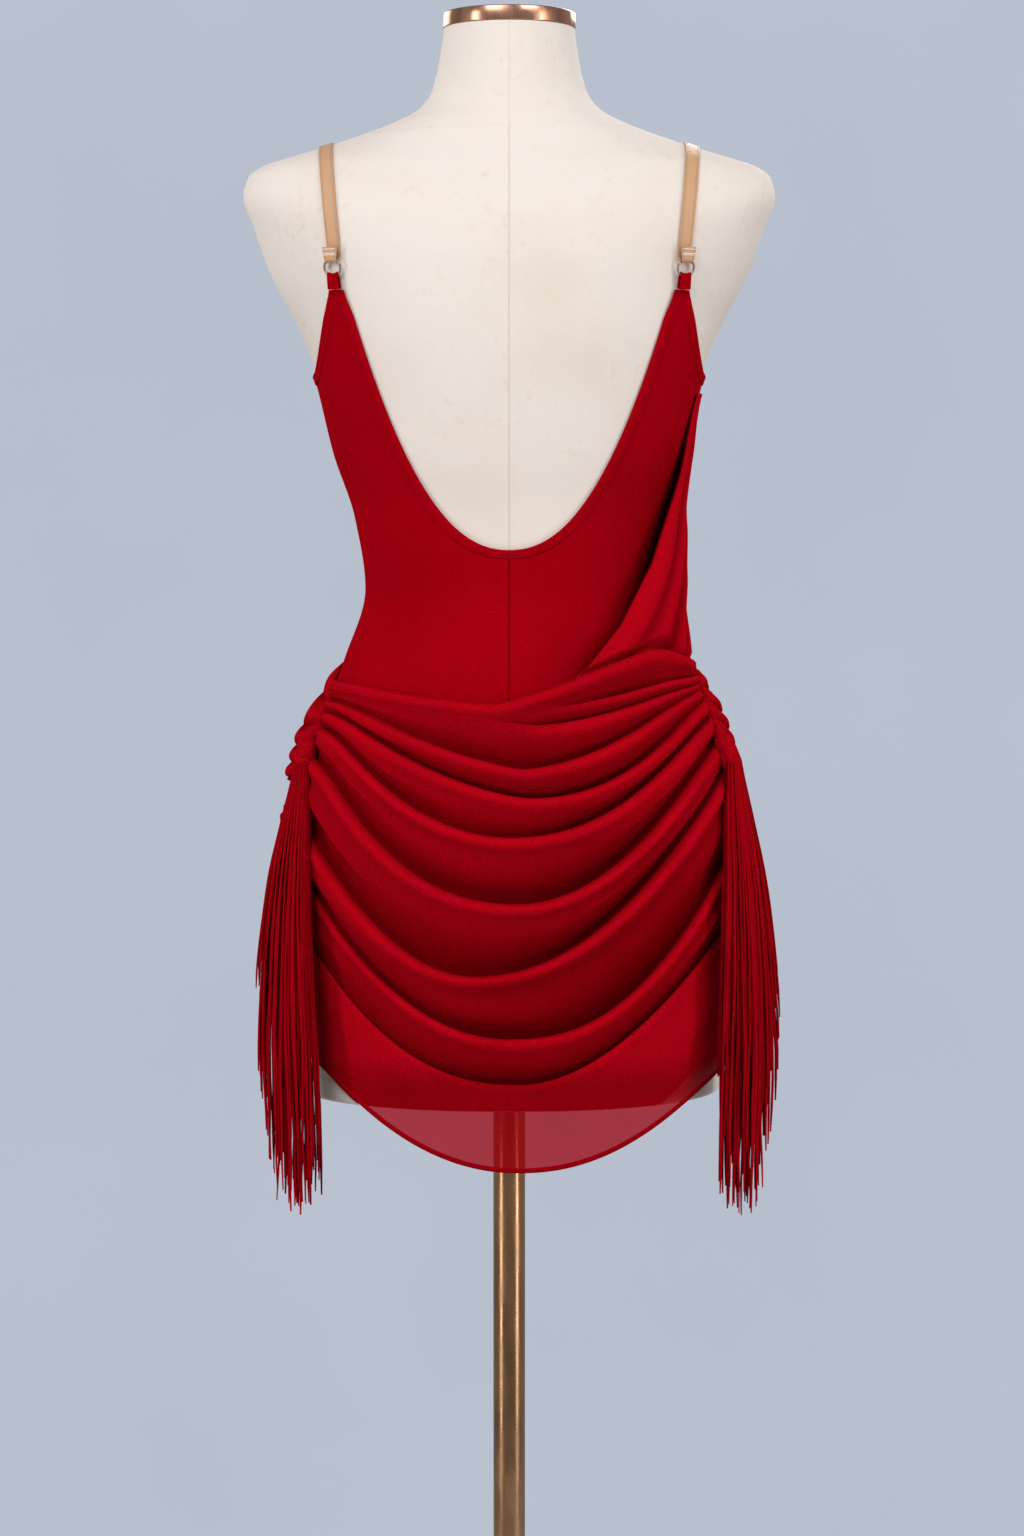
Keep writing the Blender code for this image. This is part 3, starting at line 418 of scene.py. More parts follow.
@dataclass(frozen=True)
class ClothFinish:
    """Matt red cloth with a fine crepe weave, with painted shade where it tucks into a fold."""

    name: str
    colour: Colour
    # colour of the painted shade in fold pockets
    deep: Colour
    roughness: float = 0.62
    thread: float = 0.0007
    weave_depth: float = 0.00010
    grain: float = 0.10
    see_through: float = 0.0
    tint: Colour = (1.0, 0.5, 0.55)
    opaque_above: float = 0.800
    sheer_below: float = 0.770
    stitch_at: float = 0.0
    stitch: float = 0.0026

    def make(self) -> bpy.types.Material:
        """Builds the material.

        Returns:
            The material.
        """
        n = Nodes(self.name)
        painted_shade = n.add("Attribute", attribute_name="painted_shade").outputs["Fac"]
        grain = n.span(n.noise(650.0, 2.0), 0.30, 0.70, 1 - self.grain, 1 + self.grain)
        wash = n.span(n.noise(16.0, 3.0), 0.25, 0.75, 0.94, 1.05)
        # Painted shade: the colour goes towards the deep colour by each vertex's shade value, in fold
        # pockets and hollows.
        colour = n.blend(painted_shade, (*self.colour, 1), (*self.deep, 1))
        light = n.math("MULTIPLY", grain, wash)
        colour = n.add("VectorMath", {0: colour, 3: light}, operation="SCALE").outputs[0]
        height = n.weave(self.thread)
        if self.stitch_at:
            height = n.math("SUBTRACT", height, self.stitches(n))
        normal = n.bump(height, 0.55, self.weave_depth)
        crinkle = n.bump(n.noise(420.0, 3.0), 0.30, 0.00020, normal)
        shader = n.add(
            "BsdfPrincipled",
            {
                "Base Color": colour, "Roughness": self.roughness, "Specular IOR Level": 0.0,
                "Sheen Weight": 0.10, "Sheen Roughness": 0.50, "Sheen Tint": (1.0, 0.012, 0.03, 1),
                "Normal": crinkle,
            },
        ).outputs[0]
        if self.see_through:
            place = n.add("SeparateXYZ", {0: n.coords.outputs["Object"]}).outputs["Z"]
            open_share = n.span(place, self.sheer_below, self.opaque_above, self.see_through, 0.0)
            clear = n.add("BsdfTransparent", {0: (*self.tint, 1)}).outputs[0]
            shader = n.add("MixShader", {0: open_share, 1: shader, 2: clear}).outputs[0]
        return n.finish(shader)

    def stitches(self, n: Nodes) -> Socket:
        """A row of sunk stitches along the piece, at stitch_at across it.

        Args:
            n: The material's nodes.

        Returns:
            Their depth.
        """
        place = n.add("SeparateXYZ", {0: n.coords.outputs["UV"]})
        away = n.math("ABSOLUTE", n.math("SUBTRACT", place.outputs["X"], self.stitch_at))
        line = n.span(away, 0.0002, 0.0006, 1.0, 0.0)
        beat = n.math("FRACT", n.math("DIVIDE", place.outputs["Y"], self.stitch))
        return n.math("MULTIPLY", line, n.span(beat, 0.20, 0.34, 0.0, 3.0))


@dataclass(frozen=True)
class LinenFinish:
    """Mottled cream linen over the form, with its sewn seams."""

    name: str
    colour: Colour = (0.735, 0.660, 0.600)
    stain: Colour = (0.610, 0.505, 0.415)
    thread: Colour = (0.42, 0.34, 0.27)
    plate_low: float = 1.352
    plate_across: float = 0.1535
    plate_slope: float = 0.32
    neck_seam: float = 1.5045
    neck_slope: float = 0.02

    def make(self) -> bpy.types.Material:
        """Builds the material.

        Returns:
            The material.
        """
        n = Nodes(self.name)
        place = n.add("SeparateXYZ", {0: n.coords.outputs["Object"]})
        cloud = n.span(n.noise(9.0, 6.0), 0.38, 0.78)
        speck = n.span(n.noise(160.0, 4.0), 0.52, 0.80)
        fleck = n.math("MULTIPLY", speck, n.span(n.noise(24.0, 2.0), 0.40, 0.65, 0.15, 1.0))
        # Mottled stains from the clouds and flecks, and darker towards the bottom.
        low = n.span(place.outputs["Z"], 0.90, 1.45, 0.22, 0.0)
        darkening = n.math("ADD", n.math("MULTIPLY", cloud, 0.42), n.math("MULTIPLY", fleck, 0.45))
        darkening = n.math("ADD", darkening, low, clamp=True)
        colour = n.blend(darkening, (*self.colour, 1), (*self.stain, 1))
        seam = self.seams(n, place)
        colour = n.blend(n.math("MULTIPLY", seam, 0.34), colour, (*self.thread, 1))
        slub = n.add(
            "Mapping", {"Vector": n.coords.outputs["Object"], "Scale": (1.0, 1.0, 0.22)}
        ).outputs[0]
        threads = n.math("ADD", n.noise(1300.0, 2.0), n.noise(900.0, 2.0, slub))
        height = n.math("SUBTRACT", threads, n.math("MULTIPLY", seam, 2.5))
        normal = n.bump(height, 0.5, 0.00014)
        normal = n.bump(n.noise(60.0, 4.0), 0.16, 0.0010, normal)
        shader = n.add(
            "BsdfPrincipled",
            {"Base Color": colour, "Roughness": 0.85, "Specular IOR Level": 0.20, "Normal": normal},
        )
        return n.finish(shader.outputs[0])

    def seams(self, n: Nodes, place: bpy.types.Node) -> Socket:
        """Centre-back and centre-front seam, neck seam and the edges of the arm plates.

        Args:
            n: The material's nodes.
            place: The place on the form, split into X, Y and Z.

        Returns:
            How much of a seam there is, from 0 to 1.
        """
        x, z = place.outputs["X"], place.outputs["Z"]
        centre = n.span(n.math("ABSOLUTE", x), 0.0003, 0.0010, 1.0, 0.0)
        centre = n.math("MULTIPLY", centre, n.span(z, 1.503, 1.506, 1.0, 0.55))
        swing = n.math("MULTIPLY", n.math("SUBTRACT", z, self.plate_low), self.plate_slope)
        edge = n.math("SUBTRACT", n.math("ABSOLUTE", x), n.math("ADD", swing, self.plate_across))
        plate = n.span(n.math("ABSOLUTE", edge), 0.0004, 0.0012, 0.16, 0.0)
        plate = n.math("MULTIPLY", plate, n.span(z, 1.325, 1.340))
        plate = n.math("MULTIPLY", plate, n.span(z, 1.440, 1.458, 1.0, 0.0))
        level = n.math("ADD", self.neck_seam, n.math("MULTIPLY", x, self.neck_slope))
        ring = n.math("SUBTRACT", z, level)
        neck = n.span(n.math("ABSOLUTE", ring), 0.0003, 0.0010, 0.20, 0.0)
        return n.math("MAXIMUM", n.math("MAXIMUM", centre, plate), neck)


@dataclass(frozen=True)
class MetalFinish:
    """Polished metal with fine wear and smudges."""

    name: str
    colour: Colour
    dark: Colour
    roughness: float = 0.24
    smudge_scale: float = 40.0
    stretch: Colour = (1.0, 1.0, 0.25)

    def make(self) -> bpy.types.Material:
        """Builds the material.

        Returns:
            The material.
        """
        n = Nodes(self.name)
        drawn = n.add(
            "Mapping", {"Vector": n.coords.outputs["Object"], "Scale": self.stretch}
        ).outputs[0]
        smudge = n.span(n.noise(self.smudge_scale, 5.0, drawn), 0.35, 0.72)
        colour = n.blend(smudge, (*self.colour, 1), (*self.dark, 1))
        rough = n.span(
            n.noise(self.smudge_scale * 3, 3.0, drawn), 0.3, 0.7, self.roughness * 0.8,
            self.roughness * 1.35,
        )
        normal = n.bump(n.noise(700.0, 2.0, drawn), 0.10, 0.0001)
        shader = n.add(
            "BsdfPrincipled",
            {"Base Color": colour, "Metallic": 1.0, "Roughness": rough, "Normal": normal},
        )
        return n.finish(shader.outputs[0])


@dataclass(frozen=True)
class ElasticFinish:
    """Tan satin elastic: a smooth face between ribbed edges, with tiny picots."""

    name: str
    colour: Colour = (0.560, 0.320, 0.180)
    edge: Colour = (0.430, 0.215, 0.100)
    picot: Colour = (0.36, 0.20, 0.10)
    width: float = 0.0108
    rib: float = 0.0011

    def make(self) -> bpy.types.Material:
        """Builds the material.

        Returns:
            The material.
        """
        n = Nodes(self.name)
        uv = n.add("SeparateXYZ", {0: n.coords.outputs["UV"]})
        across = n.math("ABSOLUTE", n.math("SUBTRACT", uv.outputs["X"], self.width / 2))
        border = n.span(across, self.width * 0.30, self.width * 0.38)
        wave = n.math("SINE", n.math("MULTIPLY", uv.outputs["Y"], 2 * math.pi / self.rib))
        ribs = n.math("MULTIPLY", n.span(wave, -0.2, 0.6), border)
        from_groove = n.math("ABSOLUTE", n.math("SUBTRACT", across, self.width * 0.34))
        groove = n.span(from_groove, 0.0, 0.0004, 1.0, 0.0)
        # Painted shade in the sunk groove beside each ribbed edge.
        darkening = n.math("MULTIPLY", groove, 0.5)
        tone = n.math("ADD", n.math("MULTIPLY", border, 0.35), darkening, clamp=True)
        colour = n.blend(tone, (*self.colour, 1), (*self.edge, 1))
        dots = n.span(n.noise(900.0, 1.0), 0.45, 0.7, 0.0, 0.16)
        colour = n.blend(dots, colour, (*self.picot, 1))
        raised = n.math("ADD", ribs, n.weave(0.0006))
        height = n.math("SUBTRACT", raised, n.math("MULTIPLY", groove, 2.0))
        shader = n.add(
            "BsdfPrincipled",
            {
                "Base Color": colour, "Roughness": 0.42, "Specular IOR Level": 0.22,
                "Sheen Weight": 0.05, "Normal": n.bump(height, 0.6, 0.00012),
            },
        )
        return n.finish(shader.outputs[0])


@dataclass(frozen=True)
class CordFinish:
    """Red knitted or twisted rayon cord, with painted shade between its loops."""

    name: str
    colour: Colour
    deep: Colour
    loop: float = 0.0016
    depth: float = 0.00025

    def make(self) -> bpy.types.Material:
        """Builds the material.

        Returns:
            The material.
        """
        n = Nodes(self.name)
        cells = n.add(
            "TexVoronoi", {"Vector": n.coords.outputs["Object"], "Scale": 1 / self.loop},
        ).outputs["Distance"]
        shade = n.add("Attribute", attribute_name="painted_shade").outputs["Fac"]
        # Painted shade: darker towards the sunk edge of each knit loop, and by each cord's own shade
        # value.
        tone = n.math("ADD", n.math("MULTIPLY", cells, 0.55), shade, clamp=True)
        colour = n.blend(tone, (*self.colour, 1), (*self.deep, 1))
        height = n.math("SUBTRACT", 1.0, cells)
        shader = n.add(
            "BsdfPrincipled",
            {
                "Base Color": colour, "Roughness": 0.55, "Specular IOR Level": 0.0,
                "Sheen Weight": 0.10, "Sheen Tint": (1.0, 0.02, 0.04, 1),
                "Normal": n.bump(height, 0.9, self.depth),
            },
        )
        return n.finish(shader.outputs[0])


@dataclass(frozen=True)
class PlainFinish:
    """A quiet painted or board surface with a little tone in it."""

    name: str
    colour: Colour
    roughness: float = 0.9
    tone: float = 0.04
    scale: float = 3.0

    def make(self) -> bpy.types.Material:
        """Builds the material.

        Returns:
            The material.
        """
        n = Nodes(self.name)
        shift = n.span(n.noise(self.scale, 4.0), 0.3, 0.7, 1 - self.tone, 1 + self.tone)
        colour = n.add("VectorMath", {0: self.colour, 3: shift}, operation="SCALE").outputs[0]
        shader = n.add(
            "BsdfPrincipled",
            {"Base Color": colour, "Roughness": self.roughness, "Specular IOR Level": 0.2},
        )
        return n.finish(shader.outputs[0])


class Finishes(enum.Enum):
    """Every finish of the dress, the form and the stand."""

    # The second colour of each cloth and cord finish is the colour that its painted shade darkens
    # towards.
    CREPE = ClothFinish("red_crepe", (0.300, 0.0003, 0.0044), (0.060, 0.0, 0.0005))
    BINDING = ClothFinish(
        "red_binding", (0.300, 0.0003, 0.0044), (0.060, 0.0, 0.0005), stitch_at=0.0049
    )
    GEORGETTE = ClothFinish(
        "red_georgette", (0.375, 0.0010, 0.0068), (0.055, 0.0, 0.0003), grain=0.13,
        see_through=0.53,
    )
    HEM = ClothFinish("red_rolled_hem", (0.255, 0.0004, 0.0038), (0.10, 0.0001, 0.001))
    LINEN = LinenFinish("cream_linen")
    COPPER = MetalFinish("copper_cap", (0.62, 0.33, 0.22), (0.40, 0.19, 0.12), 0.22)
    BRONZE = MetalFinish("bronze_pole", (0.45, 0.250, 0.130), (0.27, 0.145, 0.072), 0.26)
    RING = MetalFinish("ring_metal", (0.40, 0.27, 0.21), (0.22, 0.13, 0.09), 0.26, 300.0)
    ELASTIC = ElasticFinish("tan_elastic")
    THREAD = PlainFinish("pale_thread", (0.86, 0.78, 0.70), 0.6)
    CORD = CordFinish("red_cord", (0.400, 0.0012, 0.0075), (0.07, 0.0, 0.0005), 0.0011, 0.00012)
    KNIT = CordFinish("red_knit", (0.420, 0.0012, 0.0075), (0.03, 0.0, 0.0003), 0.0021, 0.0006)
    BOARD = PlainFinish("base_board", (0.42, 0.33, 0.24), 0.8, 0.10, 30.0)
    FLOOR = PlainFinish("pale_floor", (0.56, 0.60, 0.67), 0.9, 0.03)

    def material(self) -> bpy.types.Material:
        """The finish's material, made once."""
        made = bpy.data.materials.get(self.value.name)
        return made or self.value.make()


# ---- making meshes


def build(
    name: str, points: np.ndarray, faces: list, finish: Finishes, uv: np.ndarray | None = None,
    painted_shade: np.ndarray | None = None, crease: float = 50.0,
) -> Piece:
    """Makes a mesh object that rides on the body.

    Args:
        name: Piece name.
        points: Vertices.
        faces: Vertex numbers of each face.
        finish: Its finish.
        uv: Map position of each vertex, in metres.
        painted_shade: Painted shade of each vertex, from 0 to 1, that darkens its colour in fold
            pockets and hollows.
        crease: Angle past which an edge is sharp, in degrees.

    Returns:
        The piece.
    """
    mesh = bpy.data.meshes.new(name)
    mesh.from_pydata(points.reshape(-1, 3).tolist(), [], faces)
    if uv is not None:
        layer = mesh.uv_layers.new(name="UVMap")
        corners = np.empty(len(mesh.loops), np.int32)
        mesh.loops.foreach_get("vertex_index", corners)
        layer.data.foreach_set("uv", uv.reshape(-1, 2)[corners].astype(np.float32).ravel())
    shade = np.zeros(len(mesh.vertices)) if painted_shade is None else np.clip(painted_shade.ravel(), 0, 1)
    mesh.attributes.new("painted_shade", "FLOAT", "POINT").data.foreach_set(
        "value", shade.astype(np.float32)
    )
    edit = bmesh.new()
    edit.from_mesh(mesh)
    bmesh.ops.recalc_face_normals(edit, faces=edit.faces)
    edit.to_mesh(mesh)
    edit.free()
    obj = bpy.data.objects.new(name, mesh)
    bpy.context.scene.collection.objects.link(obj)
    mesh.materials.append(finish.material())
    mesh.shade_smooth()
    mesh.set_sharp_from_angle(angle=math.radians(crease))
    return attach(obj, BODY)


def grid_faces(rows: int, columns: int, start: int = 0, turn: bool = False) -> list:
    """Quads of a grid of points numbered row by row."""
    at = np.arange(rows * columns).reshape(rows, columns) + start
    quads = np.stack([at[:-1, :-1], at[:-1, 1:], at[1:, 1:], at[1:, :-1]], -1).reshape(-1, 4)
    return (quads[:, ::-1] if turn else quads).tolist()


def grid_normals(grid: np.ndarray) -> np.ndarray:
    """Unit normals of a grid of points, away from the body's axis on the whole."""
    normal = unit(np.cross(np.gradient(grid, axis=1), np.gradient(grid, axis=0)))
    away = (normal[..., :2] * grid[..., :2]).sum()
    return normal if away > 0 else -normal


def stand_in(piece: Piece, node: str) -> Piece:
    """Hides the CAD node that a piece stands for, and returns the piece."""
    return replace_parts(piece, node) or piece


def wall_faces(rows: int, columns: int) -> list:
    """Faces of a closed wall: the outer grid, the inner one after it, and the rim.

    Args:
        rows: Rows of each grid.
        columns: Columns of each grid.

    Returns:
        Vertex numbers of each face.
    """
    under = rows * columns
    at = np.arange(under).reshape(rows, columns)
    rim = np.concatenate([at[0], at[1:, -1], at[-1, -2::-1], at[-2:0:-1, 0]])
    after = np.roll(rim, -1)
    faces = grid_faces(rows, columns) + grid_faces(rows, columns, under, True)
    return faces + np.stack([after, rim, rim + under, after + under], -1).tolist()


def sheet(
    name: str, grid: np.ndarray, thickness: float, finish: Finishes,
    painted_shade: np.ndarray | None = None, crease: float = 50.0,
) -> Piece:
    """A closed cloth wall whose outer face is the grid, with a UV map in metres.

    Args:
        name: Piece name.
        grid: Rows of points.
        thickness: Thickness of the wall.
        finish: Its finish.
        painted_shade: Painted shade of each point, from 0 to 1, in fold pockets and hollows.
        crease: Angle past which an edge is sharp, in degrees.

    Returns:
        The piece, with the area of the grid as its cloth_area.
    """
    inner = grid - grid_normals(grid) * thickness
    uv = np.stack([run_length(grid, 1), run_length(grid, 0)], -1)
    shade = np.zeros(grid.shape[:2]) if painted_shade is None else painted_shade
    # The inner face gets 0.25 more painted shade than the outer face.
    made = build(
        name, np.concatenate([grid, inner]), wall_faces(*grid.shape[:2]), finish,
        np.concatenate([uv, uv]), np.concatenate([shade, np.clip(shade + 0.25, 0, 1)]), crease,
    )
    made["cloth_area"] = float(grid_area(grid))
    return made


def grid_area(grid: np.ndarray) -> float:
    """Area of a grid of points.

    Args:
        grid: Rows of points.

    Returns:
        The area.
    """
    across = np.linalg.norm(
        np.cross(grid[1:, 1:] - grid[:-1, :-1], grid[1:, :-1] - grid[:-1, 1:]), axis=-1
    )
    return float(across.sum() / 2)


def tubes(
    name: str, paths: list[np.ndarray], radii: list[np.ndarray], sides: int, finish: Finishes,
    facing: Vector | np.ndarray = (0.0, 1.0, 0.0), flat: float = 1.0,
    shade: list[float] | None = None, end_round: bool = True,
) -> Piece:
    """Joined round cords along paths, closed at both ends.

    Args:
        name: Piece name.
        paths: Points of each cord.
        radii: Radius at each of those points.
        sides: Number of sides.
        finish: Their finish.
        facing: Direction, or one for each point, that the section's first axis is square to.
        flat: Thickness of the section against its width.
        shade: How dark each cord is.
        end_round: Whether the ends are drawn in.

    Returns:
        The piece.
    """
    points, faces, uvs, shades = [], [], [], []
    count = 0
    turn = np.arange(sides) * 2 * math.pi / sides
    for k, (path, radius) in enumerate(zip(paths, radii)):
        along = unit(np.gradient(path, axis=0))
        first = unit(np.cross(along, np.broadcast_to(facing, path.shape)))
        second = np.cross(first, along)
        radius = np.array(radius, float)
        if end_round:
            radius[0] *= 0.6
            radius[-1] *= 0.6
        ring = (
            path[:, None]
            + radius[:, None, None] * np.cos(turn)[None, :, None] * first[:, None]
            + radius[:, None, None] * flat * np.sin(turn)[None, :, None] * second[:, None]
        )
        rows = len(path)
        at = np.arange(rows * sides).reshape(rows, sides) + count
        right = np.roll(at, -1, axis=1)
        faces += np.stack([at[:-1], right[:-1], right[1:], at[1:]], -1).reshape(-1, 4).tolist()
        faces += [at[0][::-1].tolist(), at[-1].tolist()]
        length = run_length(path[:, None], 0)
        uvs.append(
            np.stack(
                np.broadcast_arrays((turn / (2 * math.pi) * 0.006)[None, :], length), -1
            ).reshape(-1, 2)
        )
        points.append(ring.reshape(-1, 3))
        shades.append(np.full(rows * sides, shade[k] if shade else 0.0))
        count += rows * sides
    return build(
        name, np.concatenate(points), faces, finish, np.concatenate(uvs), np.concatenate(shades)
    )


def deselect() -> None:
    """Leaves nothing selected, in Object mode."""
    if bpy.context.mode != "OBJECT":
        bpy.ops.object.mode_set(mode="OBJECT")
    bpy.ops.object.select_all(action="DESELECT")


def place_and_dress(obj: Piece, name: str, finish: Finishes, matrix: Matrix | None = None) -> Piece:
    """Puts a primitive's place into its mesh, names and dresses it, and makes it ride.

    Args:
        obj: The primitive.
        name: Piece name.
        finish: Its finish.
        matrix: Where it goes, before its own place.

    Returns:
        The piece.
    """
    obj.name = obj.data.name = name
    obj.data.transform((matrix or Matrix.Identity(4)) @ obj.matrix_world)
    obj.matrix_world = Matrix.Identity(4)
    obj.data.materials.clear()
    obj.data.materials.append(finish.material())
    bpy.context.view_layer.update()
    deselect()
    obj.select_set(True)
    bpy.context.view_layer.objects.active = obj
    bpy.ops.object.shade_smooth_by_angle(angle=math.radians(35))
    deselect()
    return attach(obj, BODY)


def drum(
    name: str, radius: float, low: float, high: float, finish: Finishes, edge: float = 0.001,
    dish: float = 0.0, sides: int = 96,
) -> Piece:
    """A round post, band or plate with eased edges and, on top, a shallow stepped face.

    Args:
        name: Piece name.
        radius: Radius.
        low: Height of its foot.
        high: Height of its top.
        finish: Its finish.
        edge: Width of the eased edges.
        dish: How far the middle of the top is raised, or sunk if negative.
        sides: Number of sides.

    Returns:
        The piece.
    """
    deselect()
    bpy.ops.mesh.primitive_cylinder_add(
        vertices=sides, radius=radius, depth=high - low, location=(0, 0, (low + high) / 2)
    )
    obj = bpy.context.object
    bpy.ops.object.transform_apply(location=True, rotation=True, scale=True)
    bpy.ops.object.mode_set(mode="EDIT")
    bpy.ops.mesh.select_mode(type="FACE")
    edit = bmesh.from_edit_mesh(obj.data)
    for face in edit.faces:
        face.select_set(face.normal.z > 0.9)
    bmesh.update_edit_mesh(obj.data)
    if dish:
        bpy.ops.mesh.inset(thickness=radius * 0.12, depth=0.0)
        bpy.ops.mesh.inset(thickness=radius * 0.05, depth=dish)
    bpy.ops.mesh.select_mode(type="EDGE")
    edit = bmesh.from_edit_mesh(obj.data)
    for item in edit.edges:
        rim = all(
            abs(math.hypot(v.co.x, v.co.y) - radius) < 1e-5 for v in item.verts
        ) and abs(item.verts[0].co.z - item.verts[1].co.z) < 1e-6
        item.select_set(rim)
    bmesh.update_edit_mesh(obj.data)
    bpy.ops.mesh.bevel(offset=edge, segments=3, affect="EDGES")
    deselect()
    return place_and_dress(obj, name, finish)


# ---- form and stand


@dataclass
class Form:
    """The padded torso, the band on its neck and the stand under it."""

    sides: int = 144
    levels: int = 190
    edge: float = 0.0030
    pole_radius: float = 0.0127
    socket: float = 0.080
    gap: float = 0.0003
    cap_height: float = 0.0115
    plate_radius: float = 0.165
    plate_height: float = 0.014
    collar_radius: float = 0.026
    collar_height: float = 0.030
    plain_rows: int = 110
    shoulder_start: float = 1.43

    def torso(self) -> Piece:
        """The linen torso, with an eased lower edge, closed round the pole's socket.

        Returns:
            The piece.
        """
        angle = np.arange(self.sides) * 2 * math.pi / self.sides
        body = np.concatenate(
            [
                np.linspace(FIGURE.base + self.edge, self.shoulder_start, self.plain_rows)[:-1],
                np.linspace(self.shoulder_start, FIGURE.top, self.levels - self.plain_rows + 1),
            ]
        )
        rings = []
        for share in (0.0, 0.3, 0.65):
            lift = self.edge * (1 - math.cos(share * math.pi / 2))
            shrink = -self.edge * (1 - math.sin(share * math.pi / 2))
            rings.append(FIGURE.at(angle, FIGURE.base + lift, shrink))
        rings += [FIGURE.at(angle, z) for z in body]
        bore = self.pole_radius + self.gap
        hole = np.stack([bore * np.cos(angle), bore * np.sin(angle)], -1)
        for height in (FIGURE.base, FIGURE.base + self.socket):
            level = np.full((self.sides, 1), height)
            rings.insert(0, np.concatenate([hole, level], -1))
        points = np.array(rings)
        rows = len(rings)
        at = np.arange(rows * self.sides).reshape(rows, self.sides)
        right = np.roll(at, -1, axis=1)
        faces = np.stack([at[:-1], right[:-1], right[1:], at[1:]], -1).reshape(-1, 4).tolist()
        faces += [at[0][::-1].tolist(), at[-1].tolist()]
        torso = build("torso", points, faces, Finishes.LINEN, crease=60)
        torso.data.materials.append(Finishes.BOARD.material())
        for face in torso.data.polygons:
            face.material_index = int(face.center.z < FIGURE.base + 0.0001)
        return stand_in(torso, "form_torso")

    def stand(self) -> list[Piece]:
        """The neck band, the pole, its collar and the round foot plate.

        Returns:
            The pieces.
        """
        neck = FIGURE.top + self.gap
        radius = float(FIGURE.half_width(np.array(FIGURE.top))) + 0.0006
        cap = drum("neck_band", radius, neck, neck + self.cap_height, Finishes.COPPER, 0.0010, -0.0008)
        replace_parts(cap, "neck_cap")
        foot = self.plate_height + self.gap
        top = FIGURE.base + self.socket - self.gap
        pole = drum("post", self.pole_radius, foot, top, Finishes.BRONZE, 0.0006, sides=64)
        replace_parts(pole, "pole")
        plate = drum(
            "foot_disc", self.plate_radius, 0.0, self.plate_height, Finishes.BRONZE, 0.0028, 0.0
        )
        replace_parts(plate, "foot_plate")
        collar = self.collar(foot)
        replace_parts(collar, "foot_collar")
        return [cap, pole, plate, collar]

    def collar(self, foot: float) -> Piece:
        """The collar that clamps the pole, turned from its profile.

        Args:
            foot: Height of its lower face.

        Returns:
            The piece.
        """
        outer, inner = self.collar_radius, self.pole_radius + self.gap
        top = foot + self.collar_height
        deselect()
        bpy.ops.mesh.primitive_circle_add(vertices=96, radius=outer, location=(0, 0, foot))
        obj = bpy.context.object
        bpy.ops.object.transform_apply(location=True, rotation=True, scale=True)
        bpy.ops.object.mode_set(mode="EDIT")
        bpy.ops.mesh.select_all(action="SELECT")
        steps = (
            (outer, foot + 0.006), (outer - 0.004, foot + 0.0075), (outer - 0.004, top - 0.006),
            (outer - 0.0048, top - 0.0012), (outer - 0.0062, top), (inner, top), (inner, foot),
        )
        at_radius, at_height = outer, foot
        for radius, height in steps:
            bpy.ops.mesh.extrude_edges_move(
                TRANSFORM_OT_translate={"value": (0, 0, height - at_height)}
            )
            grow = radius / at_radius
            bpy.ops.transform.resize(value=(grow, grow, 1), center_override=(0, 0, height))
            at_radius, at_height = radius, height
        bpy.ops.mesh.select_all(action="SELECT")
        bpy.ops.object.mode_set(mode="OBJECT")
        edit = bmesh.new()
        edit.from_mesh(obj.data)
        ends = [e for e in edit.edges if e.is_boundary]
        bmesh.ops.bridge_loops(edit, edges=ends)
        bmesh.ops.recalc_face_normals(edit, faces=edit.faces)
        edit.to_mesh(obj.data)
        edit.free()
        return place_and_dress(obj, "pole_collar", Finishes.BRONZE)


# ---- bodice


